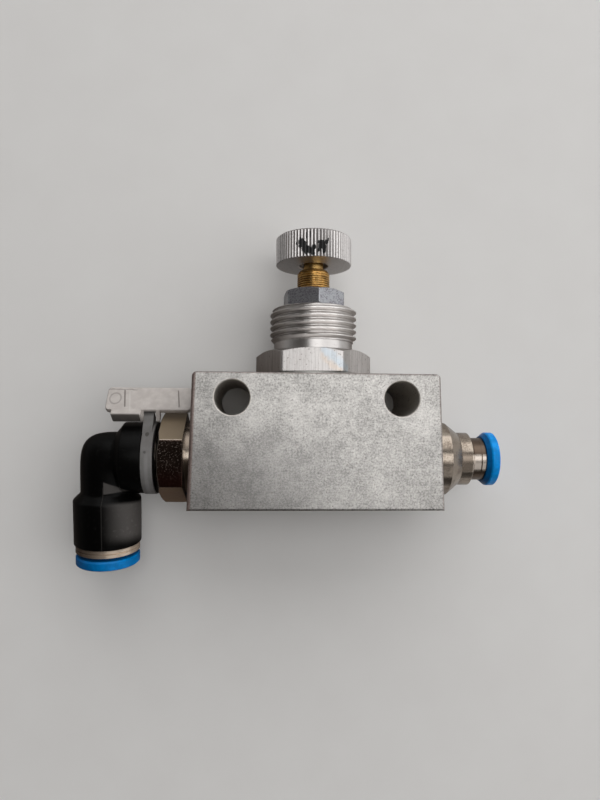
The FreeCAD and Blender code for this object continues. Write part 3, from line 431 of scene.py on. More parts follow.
# %% [markdown]
# ## The knob's metal
# The knob is plain turned metal. On its rim, the distance from the axis tells a tooth's top, with a painted
# highlight, from the groove beside it, with painted shade and flecks of grime. The painted shade in the grooves
# is deeper on the left of the rim, and there the tooth tops mirror less, as part of their painted highlight.

# %% Knob metal
KNOB_LOW, KNOB_HIGH, KNOB_RADIUS = 44.75, 6.4, 8.8
KNOB_TOP = KNOB_LOW + KNOB_HIGH

knob_metal = Finish("knob_metal", Metallic=1.0)
x, y = knob_metal.x, knob_metal.y
out, ring = turned(knob_metal, "Y", 8.0)
between_ends = y.rise(KNOB_LOW + 0.01, KNOB_LOW + 0.07) * y.rise(KNOB_TOP - 0.05, KNOB_TOP - 0.15)
on_rim = out.rise(7.9, 8.3) * between_ends
# Painted shade in the grooves and a painted highlight on the tooth tops.
groove = out.rise(KNOB_RADIUS - 0.03, KNOB_RADIUS - 0.23) * on_rim
tooth_top = out.rise(KNOB_RADIUS - 0.12, KNOB_RADIUS - 0.04) * on_rim * 0.8
fleck = knob_metal.noise(2.6, 4.0).rise(0.5, 0.75)
# The grooves' painted shade is deeper on the left.
groove_shade_strength = x.rise(3.0, -5.0) * 0.35 + 0.55
shade_and_marks = (groove * groove_shade_strength + fleck * 0.3).smaller(1.0)
crest = knob_metal.mix(tooth_top * x.rise(7.5, 4.0), (0.56, 0.54, 0.53), (0.95, 0.92, 0.91))
bare = knob_metal.mix(shade_and_marks, crest, (0.11, 0.095, 0.09))
print("finish begun:", knob_metal.slot)

# %% [markdown]
# ## The pen mark
# The front of the rim was dabbed with a black pen. Each stroke is an ellipse, a group of them joins into one
# smear, and noise that is stretched along the teeth frays its edge.

# %% Pen mark on the knob
STROKES = [  # middle in X and Y, half width and half height
    (-3.36, 47.94, 0.75, 0.85), (-2.75, 47.7, 0.5, 0.6), (-3.5, 47.2, 0.5, 0.55), (-2.5, 46.5, 0.95, 0.85),
    (-1.5, 46.1, 1.0, 0.75), (-0.68, 46.7, 0.5, 0.65), (-2.3, 45.55, 0.4, 0.5), (-0.9, 45.45, 0.4, 0.5),
    (-3.65, 48.75, 0.22, 0.45), (-4.4, 47.8, 0.18, 0.4), (-2.3, 49.4, 0.14, 0.8), (-1.5, 49.6, 0.14, 0.9),
    (1.1, 47.85, 0.9, 0.6), (2.15, 48.0, 0.5, 0.55), (1.25, 47.1, 0.85, 0.75), (2.55, 48.6, 0.18, 0.4),
    (0.6, 46.5, 0.35, 0.65), (1.6, 46.2, 0.45, 0.85), (0.3, 46.0, 0.2, 0.45),
]


def stroke(x, y, wide, high):
    """Distance from a stroke's middle in parts of its own size, so it is 1 on an ellipse about it."""
    return length((knob_metal.x - x) / wide, (knob_metal.y - y) / high)


nearest = stroke(*STROKES[0])
for numbers in STROKES[1:]:
    nearest = nearest.smaller(stroke(*numbers))
fray = knob_metal.noise(1.0, 3.0, knob_metal.stretched(3.2, 1.3, 3.2)) - 0.5
front = (knob_metal.z - AXIS_HIGH).rise(4.0, 5.0) * out.rise(7.9, 8.1)
pen = (nearest + fray * 1.1).rise(1.1, 0.9) * front
# The tooth tops on the left mirror less, as part of their painted highlight.
knob_metal.feed(
    Base_Color=knob_metal.mix(pen, bare, (0.004, 0.004, 0.004)),
    Metallic=1.0 - (pen * 0.95).larger(tooth_top * x.rise(-2.0, -6.0) * 0.6),
    Roughness=0.36 + ring * 0.08 + groove * 0.15 + pen * 0.15,
)
knob_metal.bump(ring, 0.004)
print("finish:", knob_metal.slot, "pen strokes:", len(STROKES))

# %% [markdown]
# ## The elbow's plastic
# The elbow is moulded in black glass-filled nylon, with a very fine grain, a little dust and one raised mould
# seam down its front. A grey painted sheen, a painted reflection mottled by the dust, lies on the branch's right
# side, and a wedge of painted highlight lies in the inner corner.

# %% Elbow plastic
SEAM_X = -46.1

plastic = Finish("elbow_plastic", Specular_IOR_Level=0.07)
x, y = plastic.x, plastic.y
grain = plastic.noise(7.0, 2.0)
dust = plastic.noise(1.3, 5.0).rise(0.55, 0.8)
seam = (x - SEAM_X).size().rise(0.16, 0.06) * plastic.z.rise(14.0, 15.0) * y.rise(-6.0, -7.0)
on_branch = y.rise(-9.4, -10.4) * y.rise(-19.4, -16.5)
# Painted reflection: a grey sheen on the branch's right side.
painted_sheen = x.rise(-46.6, -40.0) * on_branch * (0.75 + dust * 0.25)
# Painted highlight: a wedge in the inner corner, right of the seam.
wedge_half = (x + 40.2) * -0.26
from_wedge = (y + (x + 46.0) * 0.12 + 6.6).size()
painted_wedge_highlight = x.rise(SEAM_X + 0.05, SEAM_X + 0.2) * (wedge_half - from_wedge).rise(0.0, 0.35)
# Painted sheen and highlight, with real dust and the seam.
dirt_and_painted_light = (painted_sheen + painted_wedge_highlight * 0.55 + dust * 0.03 + seam * 0.13).smaller(1.0)
plastic.feed(
    Base_Color=plastic.mix(dirt_and_painted_light, (0.0016, 0.0015, 0.0014), (0.125, 0.116, 0.11)),
    Roughness=0.28 + grain * 0.08 + dust * 0.14,
)
plastic.bump(grain * 0.06 + seam, 0.06)
print("finish:", plastic.slot)

# %% [markdown]
# ## Push rings, gasket and seals
# The push rings are glossy blue. Painted shade darkens the straight ring's inner side and all of the elbow's
# ring, more so further left. The gasket is a pale fibre, the seals black rubber.

# %% Push rings, gasket and seals
release_blue = Finish("release_blue", Specular_IOR_Level=0.15)
x = release_blue.x
shade = release_blue.noise(0.8, 3.0)
blue = release_blue.mix(shade.rise(0.35, 0.7), (0.0, 0.24, 0.66), (0.0, 0.33, 0.90))
# Painted shade on the straight ring's inner side and on the elbow's ring, darker further left.
straight_inside_shade = x.rise(40.3, 40.1) * x.rise(30.0, 38.0)
elbow_ring_shade = x.rise(0.0, -1.0) * (x.rise(-41.0, -52.0) * 0.35 + 0.35)
release_blue.feed(
    Base_Color=release_blue.mix((straight_inside_shade * 0.7).larger(elbow_ring_shade), blue, (0.0, 0.035, 0.13)),
    Roughness=0.26 + shade * 0.14,
)
release_blue.bump(release_blue.noise(9.0, 2.0), 0.006)

gasket = Finish("gasket", Specular_IOR_Level=0.3)
fibre = gasket.noise(3.5, 4.0)
gasket.feed(
    Base_Color=gasket.mix(fibre, (0.62, 0.61, 0.58), (0.86, 0.85, 0.82)),
    Roughness=0.7 + fibre * 0.2,
)
gasket.bump(fibre, 0.02)

rubber = Finish("seal_rubber")
moulded = rubber.noise(4.0, 2.0)
rubber.feed(
    Base_Color=rubber.mix(moulded, (0.012, 0.012, 0.012), (0.035, 0.035, 0.034)),
    Roughness=0.5 + moulded * 0.2,
)
rubber.bump(moulded, 0.01)
print("finishes:", release_blue.slot, gasket.slot, rubber.slot)

# %% [markdown]
# ## Marks on the nylon tie
# The tie's plate leans towards the camera, and its marks are drawn in the plate's own leaned axes: a round gate
# mark near the end, two cross ridges and a dark scuffed line along the top edge. A line is 1 close to a place
# and falls to 0, so a ring is a line in the distance from its middle.

# %% Marks on the tie
LEAN = math.radians(33.0)

nylon = Finish("tie_nylon", Specular_IOR_Level=0.4)
x, y = nylon.x, nylon.y
up = nylon.z - AXIS_HIGH
plate_y = y * math.cos(LEAN) - up * math.sin(LEAN)
plate_z = y * math.sin(LEAN) + up * math.cos(LEAN)
on_face = plate_z.rise(9.5, 9.7) * plate_y.rise(6.0, 6.2)
wander = nylon.noise(0.9, 3.0) - 0.5


def line_at(value, middle, half):
    """1 on a narrow line and 0 away from it."""
    return (value - middle).size().rise(half, half * 0.3)


gate = line_at(length((x + 44.2) / 1.2, (plate_y - 9.4) / 1.45), 1.0, 0.2)
cross_x = x + (plate_y - 9.4) * 0.12
ridges = line_at(cross_x, -42.15, 0.24).larger(line_at(cross_x, -30.3, 0.18))
ridges = ridges * plate_y.rise(6.9, 7.3) * plate_y.rise(11.9, 11.6)
scuff = line_at(plate_y + wander * 0.8, 11.85, 0.2) * x.rise(-39.2, -40.6)
low_scuff = line_at(plate_y + x * 0.25 + wander * 1.6, -5.0, 0.22) * x.rise(-43.2, -43.8)
marks = ridges.larger(gate * 0.5).larger(scuff * 0.7).larger(low_scuff * 0.6) * on_face
pale_line = line_at(cross_x, -41.1, 0.22) * on_face * plate_y.rise(11.6, 11.2)
print("finish begun:", nylon.slot)

# %% [markdown]
# ## The tie's nylon
# Natural nylon lets light through, so the thin strap over the black elbow looks much darker than the plate. The
# strap has two dark pits, a painted highlight down its middle, and is paler lower down. Painted shade darkens
# the strap within the head's slot and the rail's lower face.

# %% Nylon
def pit(x, y, wide):
    """1 within a distance of a point, with noise in the distance so the pit isn't a plain disc."""
    out = length(nylon.x - x, nylon.y - y) + nylon.noise(5.0) * 0.3
    return out.rise(wide + 0.18, wide + 0.02)


pits = pit(-36.55, 5.26, 0.5).larger(pit(-36.73, 1.45, 0.34) * 0.75)
# Painted shade within the head's slot, between the pillars.
slot_shade = x.rise(-37.76, -37.74) * x.rise(-35.12, -35.14) * plate_z.rise(9.3, 9.1)
over_elbow = length(y, up).rise(8.45, 8.25).larger(slot_shade)
# Painted shade on the rail's lower face.
under_rail_shade = plate_y.rise(5.4, 5.1) * x.rise(-38.5, -38.6) * plate_z.rise(6.0, 6.5)
smear = nylon.noise(0.6, 4.0)
cloudy = smear.rise(0.3, 0.75)
thick_nylon = nylon.mix(cloudy, (0.46, 0.42, 0.395), (0.55, 0.51, 0.48))
# Painted highlight down the strap's middle.
strap_highlight = line_at(x, -36.4, 0.6) * y.rise(2.0, -1.0)
pale_part = cloudy * 0.25 + y.rise(5.0, -3.0) * 0.5 + strap_highlight * 0.4
thin_nylon = nylon.mix(pale_part, (0.115, 0.108, 0.103), (0.25, 0.245, 0.242))
shade_and_marks = nylon.mix(over_elbow, thick_nylon, thin_nylon)
shade_and_marks = nylon.mix(pale_line * 0.4, shade_and_marks, (0.62, 0.60, 0.57))
marked = nylon.mix(marks * 0.75, shade_and_marks, (0.12, 0.10, 0.09))
nylon.feed(
    Base_Color=nylon.mix((pits * 0.85).larger(under_rail_shade * 0.76), marked, (0.035, 0.03, 0.025)),
    Roughness=0.38 + smear * 0.2,
)
nylon.bump(nylon.noise(4.0, 2.0) * 0.15 + marks, 0.08)
print("finish:", nylon.slot)

# %% [markdown]
# ## Dress the solids
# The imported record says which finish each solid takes. A solid keeps its own mesh and its own material slots,
# and only the material in each slot changes.

# %% Solids take their finishes
FINISHES = {
    finish.slot: finish.material
    for finish in (
        block, alloy, zinc_plate, brass, sleeve_metal, nickel, stainless, knob_metal, plastic,
        release_blue, gasket, rubber, nylon,
    )
}


def dress(thing, slot):
    """Put a slot's material in every place for one, and make a place where there is none."""
    if not thing.material_slots:
        thing.data.materials.append(FINISHES[slot])
    for place in thing.material_slots:
        place.material = FINISHES[slot]


for part in frame["record"]["subparts"]:
    dress(nodes[part["node"]], part["material_slot"])

# %% [markdown]
# ## From a grid of points to a piece
# Every new piece is a grid: its rows run along the piece and its columns go round it. numpy works out all the
# points, and the mesh takes them in one call. The first and last rows may join, which makes a ring, or shrink
# to a point, which closes an end. Points that fall on each other are merged afterwards.

# %% Grid to mesh
def mesh_from_grid(name, points, ring=False):
    """A closed mesh from points of shape (rows, columns, 3) in mm. Columns wrap; rows wrap if it is a ring."""
    rows, columns = points.shape[:2]
    index = np.arange(rows * columns).reshape(rows, columns)
    below = index if ring else index[:-1]
    above = np.roll(index, -1, axis=0) if ring else index[1:]
    quads = np.stack([below, np.roll(below, -1, 1), np.roll(above, -1, 1), above], axis=-1)
    mesh = bpy.data.meshes.new(name)
    mesh.from_pydata((points.reshape(-1, 3) * MM).tolist(), [], quads.reshape(-1, 4).tolist())
    work = bmesh.new()
    work.from_mesh(mesh)
    bmesh.ops.remove_doubles(work, verts=work.verts, dist=2e-7)
    bmesh.ops.dissolve_degenerate(work, edges=work.edges, dist=1e-7)
    bmesh.ops.recalc_face_normals(work, faces=work.faces)
    work.to_mesh(mesh)
    work.free()
    mesh.shade_smooth()
    return mesh


def in_scene(name, data):
    """A new object in the scene with a mesh, a lamp or a camera for its data."""
    thing = bpy.data.objects.new(name, data)
    bpy.context.scene.collection.objects.link(thing)
    return thing


def piece(name, points, body, slot, ring=False, edge=0.0, sharp=32.0):
    """Put a grid in the scene on its body, with small bevels of the given width in mm where it is sharp."""
    mesh = mesh_from_grid(name, points, ring)
    thing = in_scene(name, mesh)
    if edge:
        bevel = thing.modifiers.new("edges", "BEVEL")
        bevel.width, bevel.segments = edge * MM, 2
        bevel.limit_method, bevel.angle_limit = "ANGLE", math.radians(sharp)
        bevel.harden_normals = True
    else:
        mesh.set_sharp_from_angle(angle=math.radians(sharp))
    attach(thing, body)
    dress(thing, slot)
    print(f"{name}: {len(mesh.polygons)} faces")
    return thing


# %% [markdown]
# ## Turned pieces
# Most of a fitting comes off a lathe, so its surface is a function of the place along the axis and the angle
# round it. A row is a place and a radius, and either may be a whole array over the angle. That lets the same
# function draw a hexagon, a knurled rim or a screw thread.

# %% Lathe
def angles(columns):
    """Equal steps round one full turn, in radians, without the last, which would meet the first."""
    return np.linspace(0.0, 2 * math.pi, columns, endpoint=False)


def lathe(rows, turn, axis):
    """Turn rows of (place, radius) about the X or the Y axis.

    Round Y a point is (radius times cosine, place, radius times sine), and round X it is
    (place, radius times cosine, radius times sine).
    """
    place = np.stack([np.broadcast_to(row[0], turn.shape) for row in rows]).astype(float)
    radius = np.stack([np.broadcast_to(row[1], turn.shape) for row in rows]).astype(float)
    across, up = radius * np.cos(turn), radius * np.sin(turn) + AXIS_HIGH
    return np.stack([across, place, up] if axis == "Y" else [place, across, up], axis=-1)


print("two rows of eight columns make", lathe([(0.0, 1.0), (1.0, 1.0)], angles(8), "Y").shape)

# %% [markdown]
# ## Hexagons
# A hexagon is turned like the rest, with a radius that changes with the angle. The angles crowd towards the
# corners, where the outline bends. Where its end was turned to a cone, each flat ends in a bow, because the
# cone's height depends on how far out the flat reaches.

# %% Hexagons
CONE = math.radians(25.0)


def hex_angles(corner, per_side=16):
    """Angles that crowd towards the six corners, the first of which is at a given angle in degrees: each is 30
    degrees times the sine of its share of a quarter turn, from its flat's middle."""
    share = np.linspace(-1.0, 1.0, per_side, endpoint=False)
    side = 30.0 * np.sin(share * math.pi / 2)
    return np.radians((corner + 30.0 + side[None, :] + 60.0 * np.arange(6)[:, None]).ravel())


def hex_radius(turn, corner, across):
    """Half the width over the cosine of the angle from the flat's middle, with the corners taken off a little."""
    from_flat = np.radians((np.degrees(turn) - corner) % 60.0 - 30.0)
    radius = across / 2 / np.cos(from_flat)
    return np.minimum(radius, across / 2 / math.cos(math.radians(30)) - 0.04)


def hexagon_ring(corner, across, low, high, inner, axis, cones, start=-0.1):
    """A hexagonal ring with a 25 degree cone turned at the ends named low or high. The cone begins at half the
    width plus a start, and drops by its slope times what the flat reaches beyond that."""
    turn = hex_angles(corner)
    flat = hex_radius(turn, corner, across)
    shoulder = across / 2 + start
    turned_down = np.minimum(flat, shoulder)
    drop = np.maximum(flat - shoulder, 0.0) * math.tan(CONE)
    rows = [(low, inner)]
    rows += [(low, turned_down), (low + drop, flat)] if "low" in cones else [(low, flat)]
    rows += [(high - drop, flat), (high, turned_down)] if "high" in cones else [(high, flat)]
    rows += [(high, inner)]
    return lathe(rows, turn, axis)


print("a 23 mm hexagon over its corners:", round(2 * hex_radius(hex_angles(0.0), 0.0, 23.0).max(), 2), "mm")

# %% [markdown]
# ## The bonnet
# The bonnet is one piece of turned hexagon bar. Its long thread is a true screw: at each angle the V shape is
# shifted along the axis by that share of the 1.5 mm pitch, so the crests climb once round. The hexagon is a ring
# on the turned core, because it needs its own angles.

# %% Bonnet
BONNET_TOP, BONNET_FLATS, BONNET_TURN = 34.35, 23.0, 5.7
PANEL_PITCH, PANEL_RADIUS = 1.5, 10.0
SPINDLE_BORE = 3.83


def screw(place, turn, pitch, first, top, depth, crest):
    """Radius of a V thread: its top within the crest's half width, its bottom within as much of the valley's
    middle, and sloping between. The crests move one pitch along in a turn, which makes the screw right handed."""
    phase = (place[:, None] - first) / pitch + turn[None, :] / (2 * math.pi)
    to_crest = np.abs(phase - np.round(phase)) * pitch
    valley = np.clip((to_crest - crest) / (pitch / 2 - crest * 2), 0.0, 1.0) * depth
    return top - valley


def bonnet_points():
    """Rows up the outside and down the bore. Along the thread the radius is the least of the screw's, a cone's
    that rises from the neck and a cone's that falls to the top."""
    below = [
        (9.1, 4.45), (9.1, 7.45), (9.6, 7.95), (SEAT + 0.2, 7.95), (SEAT + 0.2, 9.0), (HEX_TOP, NECK_RADIUS),
        (NECK_TOP - 0.06, NECK_RADIUS), (NECK_TOP, NECK_RADIUS),
    ]
    above = [(BONNET_TOP, 8.92), (BONNET_TOP, SPINDLE_BORE), (21.0, SPINDLE_BORE), (21.0, 4.45)]
    turn = angles(192)
    places = np.arange(NECK_TOP, BONNET_TOP, PANEL_PITCH / 26)
    thread = screw(places, turn, PANEL_PITCH, NECK_TOP + 2.82, PANEL_RADIUS, 0.86, 0.125)
    rising = NECK_RADIUS + (places - NECK_TOP) * 0.95
    falling = 8.95 + (BONNET_TOP - places) * 1.5
    thread = np.minimum(thread, np.minimum(rising, falling)[:, None])
    return lathe(below + list(zip(places, thread)) + above, turn, "Y")


bonnet_turned = piece("bonnet_turned", bonnet_points(), "valve", "bonnet_metal", ring=True, sharp=40)
bonnet_flats = hexagon_ring(
    corner=BONNET_TURN, across=BONNET_FLATS, low=SEAT, high=HEX_TOP, inner=8.6, axis="Y", cones=["high"],
)
piece("bonnet_hexagon", bonnet_flats, "valve", "bonnet_metal", ring=True, edge=0.07)
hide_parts("bonnet")

# %% [markdown]
# ## The lock nut
# A jam nut with a cone at both ends, so each flat ends in two bowed edges. The same ring function draws it. It
# could be cut from a prism with a cone by a boolean, but that leaves ragged faces along the bows.

# %% Lock nut
NUT_LOW = BONNET_TOP + 0.05
NUT_TOP = NUT_LOW + 4.1
nut_flats = hexagon_ring(
    corner=84.6, across=13.0, low=NUT_LOW, high=NUT_TOP, inner=SPINDLE_BORE, axis="Y", cones=["low", "high"],
)
nut = piece("lock_nut_hexagon", nut_flats, "nut", "zinc_plate", ring=True, edge=0.06)
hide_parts("lock_nut")

# %% [markdown]
# ## The spindle
# The needle's spindle has a very fine thread, 0.5 mm a turn, from the bonnet to a thin neck under the knob. Below
# it, out of sight, are the piston that keeps it captive, the seal groove and the needle's cone. The screw's
# formula is the bonnet's, with smaller numbers.

# %% Spindle
FINE_PITCH, THREAD_LOW, THREAD_HIGH, SPINDLE_NECK = 0.5, 30.0, 43.5, 2.3


def spindle_points():
    """Rows up the outside, from the needle's tip to the end in the knob. The thread's radius is the lesser of the
    screw's and that of a cone that falls to the thread's end."""
    low = [
        (3.2, 0.0), (3.2, 0.8), (7.0, 2.6), (7.4, 3.0), (13.0, 3.0), (13.0, 4.4), (15.4, 4.4), (15.4, 3.49),
        (17.3, 3.49), (17.3, 4.4), (19.5, 4.4), (20.0, 3.0), (20.5, 3.5), (THREAD_LOW, 3.5),
    ]
    high = [
        (THREAD_HIGH, 3.16), (THREAD_HIGH + 0.02, 2.42), (THREAD_HIGH + 0.15, SPINDLE_NECK),
        (KNOB_TOP - 0.9, SPINDLE_NECK), (KNOB_TOP - 0.9, 0.0),
    ]
    turn = angles(128)
    places = np.arange(THREAD_LOW, THREAD_HIGH, FINE_PITCH / 12)
    thread = screw(places, turn, FINE_PITCH, THREAD_LOW, SPINDLE_CREST, 0.26, 0.06)
    thread = np.minimum(thread, (3.2 + (THREAD_HIGH - places) * 0.7)[:, None])
    return lathe(low + list(zip(places, thread)) + high, turn, "Y")


spindle = piece("spindle_screw", spindle_points(), "needle", "brass", sharp=38)
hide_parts("spindle")

# %% [markdown]
# ## The knob
# Straight knurling is 72 small teeth round the rim. The radius is the rim's radius less a sharp wave in the
# angle, and the wave ends at a chamfer above and almost at the face below. Six columns a tooth keep the mesh
# small.

# %% Knob
TEETH, TOOTH_DEEP, TOOTH_FLAT = 72, 0.28, 0.14
KNOB_RECESS, KNOB_BORE = 3.35, 2.32


def knob_points():
    """Rows from the top's middle down the rim, in under the knob and up its bore. The wave is 0 on a tooth's flat
    top and 1 midway between two teeth, straight between, and takes off the tooth's depth."""
    turn = angles(TEETH * 6)
    from_tooth = np.abs(((turn * TEETH / (2 * math.pi)) % 1.0) - 0.5) * 2
    wave = np.clip((from_tooth - TOOTH_FLAT) / (1 - TOOTH_FLAT), 0.0, 1.0)
    knurl = KNOB_RADIUS - TOOTH_DEEP * wave
    rows = [
        (KNOB_TOP, 0.0), (KNOB_TOP, 8.3), (KNOB_TOP - 0.1, 8.47), (KNOB_TOP - 0.35, knurl),
        (KNOB_LOW + 0.08, knurl), (KNOB_LOW, knurl - 0.06), (KNOB_LOW, KNOB_RECESS + 0.15),
        (KNOB_LOW + 0.15, KNOB_RECESS), (KNOB_LOW + 1.3, KNOB_RECESS), (KNOB_LOW + 1.3, KNOB_BORE),
        (KNOB_TOP - 0.9, KNOB_BORE), (KNOB_TOP - 0.9, 0.0),
    ]
    return lathe(rows, turn, "Y")


knob = piece("knob_knurled", knob_points(), "needle", "knob_metal", sharp=28)
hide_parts("knob")

# %% [markdown]
# ## The elbow's stud
# The plated stud screws into the left port: a collar against the block, a hexagon and, inside the elbow, a
# spigot with a seal groove and a clip groove. It is turned in one, and its hexagon is a ring on it.

# %% Elbow stud
def stud_points():
    """Rows of place and radius from the port's end out to the spigot's tip. The bore joins the two ends."""
    corners = [
        (-16.15, 3.2), (-16.15, 5.93), (-16.75, 6.53), (-27.55, 6.53), (-27.55, 7.61), (-26.85, 7.61),
        (-26.85, 7.8), (-28.8, 7.8), (-33.9, 7.9), (-33.9, 5.0), (-35.3, 5.0), (-35.3, 4.5), (-36.2, 4.5),
        (-36.2, 5.0), (-38.2, 5.0), (-38.2, 4.07), (-39.9, 4.07), (-39.9, 5.0), (-41.3, 5.0), (-41.6, 4.7),
        (-41.6, 3.2),
    ]
    return lathe(corners, angles(128), "X")


stud_turned = piece("elbow_stud_turned", stud_points(), "valve", "nickel", ring=True, sharp=30)
stud_flats = hexagon_ring(
    corner=60.0 + STUD_TURN, across=STUD_FLATS, low=STUD_LEFT, high=STUD_RIGHT, inner=4.8, axis="X",
    cones=["low"], start=0.2,
)
piece("elbow_stud_hexagon", stud_flats, "valve", "nickel", ring=True, edge=0.13)
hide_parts("elbow_stud")

# %% [markdown]
# ## The elbow's neck
# The elbow is a cup over the spigot and a branch at a right angle to it, tipped 8 degrees towards the floor. A
# moulding has no sharp edges, so each corner of the cup's profile is rounded before it is turned.

# %% Elbow neck
TIP = math.radians(8.0)


def softened(corners, reach=0.12, steps=4):
    """Round each corner of a closed profile: a quadratic curve that starts and ends at a short reach from it."""
    corner = np.array(corners, float)
    before, after = np.roll(corner, 1, 0) - corner, np.roll(corner, -1, 0) - corner
    long_before, long_after = np.linalg.norm(before, axis=1), np.linalg.norm(after, axis=1)
    start = corner + before * (np.minimum(reach, long_before * 0.45) / long_before)[:, None]
    end = corner + after * (np.minimum(reach, long_after * 0.45) / long_after)[:, None]
    t = np.linspace(0.0, 1.0, steps)[None, :, None]
    curve = (1 - t) ** 2 * start[:, None] + 2 * t * (1 - t) * corner[:, None] + t ** 2 * end[:, None]
    return curve.reshape(-1, 2)


def leaned(points, angle):
    """Turn points about the ports' axis: y times cosine less height times sine, and the other way round."""
    x, y, up = points[..., 0], points[..., 1], points[..., 2] - AXIS_HIGH
    turned_y = y * math.cos(angle) - up * math.sin(angle)
    turned_up = y * math.sin(angle) + up * math.cos(angle) + AXIS_HIGH
    return np.stack([x, turned_y, turned_up], axis=-1)


def elbow_neck_points():
    """The cup's softened profile, with the groove that the tie sits in, turned about the ports' axis."""
    corners = softened([
        (-34.75, 6.2), (-34.75, 8.03), (-35.05, 8.03), (-35.05, 7.2), (-37.8, 7.2), (-37.8, 8.03),
        (-42.35, 8.03), (-44.1, 5.82), (-45.4, 5.7), (-45.4, 3.0), (-42.0, 3.0), (-42.0, 5.06), (-36.5, 5.06),
        (-36.5, 6.2),
    ], reach=0.22)
    return lathe(list(corners), angles(128), "X")


elbow_neck = piece("elbow_neck", leaned(elbow_neck_points(), TIP), "elbow", "elbow_plastic", ring=True, sharp=50)

# %% [markdown]
# ## The elbow's bend and branch
# The bend is a fan of rings about its inner corner. Each ring is stretched away from that corner by a
# superellipse: with a high power the outer corner would be square, with a power of two it would be a quarter
# circle, and this corner lies between. Below the bend, the rings are plain circles down the branch.

# %% Elbow bend and branch
BRANCH_X, TUBE_RADIUS = -46.55, 5.8


def bend_points(turn, steps=28, power=4.6):
    """Rings in planes through the inner corner: the distance from it is (1 + cosine) times the tube's radius,
    stretched by one over the power norm of the ring's direction."""
    fan = np.linspace(0.0, math.pi / 2, steps)
    stretch = (np.cos(fan) ** power + np.sin(fan) ** power) ** (-1 / power)
    away = (1 + np.cos(turn))[None, :] * TUBE_RADIUS * stretch[:, None]
    x = BRANCH_X + TUBE_RADIUS - away * np.sin(fan)[:, None]
    y = -TUBE_RADIUS + away * np.cos(fan)[:, None]
    up = np.broadcast_to(TUBE_RADIUS * np.sin(turn), x.shape) + AXIS_HIGH
    return np.stack([x, y, up], axis=-1)


def branch_points():
    """A cap, the bend, then circles of the profile's radius at its depth below the ports' axis. The profile goes
    over the shoulder and back up inside; the roundings of its two ends, four points each, are cut off."""
    turn = angles(112)
    cap = np.broadcast_to(np.array([BRANCH_X + TUBE_RADIUS, 0.0, AXIS_HIGH]), (1, turn.size, 3))
    outer = softened([
        (5.8, TUBE_RADIUS), (7.75, TUBE_RADIUS), (9.4, 7.45), (19.4, 7.4), (19.4, 6.3), (10.0, 6.3),
        (10.0, 4.1), (6.0, 4.1), (6.0, 3.0),
    ], reach=0.3)[4:-4]
    down = np.concatenate([outer, [(6.0, 3.0), (2.0, 3.0), (2.0, 0.0)]])
    radius = down[:, 1][:, None]
    x = BRANCH_X - radius * np.cos(turn)
    y = np.broadcast_to(-down[:, 0][:, None], x.shape)
    tube = np.stack([x, y, radius * np.sin(turn) + AXIS_HIGH], axis=-1)
    return leaned(np.concatenate([cap, bend_points(turn), tube]), TIP)


piece("elbow_branch", branch_points(), "elbow", "elbow_plastic", sharp=50)
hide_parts("elbow_body")

# %% [markdown]
# ## The nylon tie's strap
# A strap goes round the elbow's neck in its groove, and its head carries a flat plate for a marker. The strap is
# a turned ring with softened edges.

# %% Tie strap
def tie_strap_points():
    """The strap's softened cross-section turned about the ports' axis."""
    corners = softened([(-35.15, 7.3), (-37.7, 7.3), (-37.7, 8.2), (-35.15, 8.2)], reach=0.2)
    return lathe(list(corners), angles(128), "X")


tie_strap = piece("tie_strap", tie_strap_points(), "elbow", "tie_nylon", ring=True, sharp=60)
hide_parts("marker_tie")

# %% [markdown]
# ## The tie's plate and rail
# The plate and the rail under it are slabs, leaned about the ports' axis. A cube with bevels would do, but here
# the corners and the edges each have a radius of their own.

# %% Tie plate and rail
def on_plate(points):
    """Lean points that are given in the plate's own axes, with the ports' axis at height 0."""
    return leaned(points + np.array([0.0, 0.0, AXIS_HIGH]), -LEAN)


def slab(low, high, corner, edge, columns=32):
    """A flat block: outlines with rounded corners, stacked from back to front. Near both faces each outline is
    drawn in by the edge's radius times one less the cosine, so the edges are round too."""
    low, high = np.array(low, float), np.array(high, float)
    around = (np.arange(columns) + 0.5) / columns * 2 * math.pi
    way = np.stack([np.cos(around), np.sin(around)], axis=-1)
    middle, half = (low[:2] + high[:2]) / 2, (high[:2] - low[:2]) / 2
    swing = np.linspace(0.0, math.pi / 2, 4)
    draw_in, rise = edge * (1 - np.cos(swing)), edge * np.sin(swing)
    back = [(low[2] + edge - up, inset) for up, inset in zip(rise[::-1], draw_in[::-1])]
    front = [(high[2] - edge + up, inset) for up, inset in zip(rise, draw_in)]
    rows = []
    for level, inset in back + front:
        flat = middle + np.sign(way) * (half - corner) + way * (corner - inset)
        rows.append(np.concatenate([flat, np.full((columns, 1), level)], axis=1))
    ends = [np.tile([*middle, level], (columns, 1)) for level in (low[2], high[2])]
    return on_plate(np.stack([ends[0], *rows, ends[1]]))


TIE_SLABS = {  # lowest corner, highest corner, corner radius, edge radius
    "tie_plate": ((-46.2, 6.3, 8.5), (-27.4, 12.6, 9.8), 1.0, 0.3),
    "tie_rail": ((-44.8, 4.95, 7.0), (-38.3, 7.4, 9.77), 0.4, 0.2),
}
for name, numbers in TIE_SLABS.items():
    piece(name, slab(*numbers), "elbow", "tie_nylon", sharp=50)

# %% [markdown]
# ## The tie's pillars and core
# Two pillars join the plate to the strap's head, and a core lies between them, with the end of the strap. Each is
# a prism: one outline in Y and Z, carried along X.

# %% Tie pillars and core
def prism(outline, low, high):
    """A block with the same outline in Y and Z all along X, each end closed by a fan from its middle."""
    outline = softened(outline, reach=0.15)
    middle = np.tile(outline.mean(axis=0), (len(outline), 1))
    rows = [
        np.column_stack([np.full(len(flat), place), flat])
        for place, flat in ((low, middle), (low, outline), (high, outline), (high, middle))
    ]
    return on_plate(np.stack(rows))


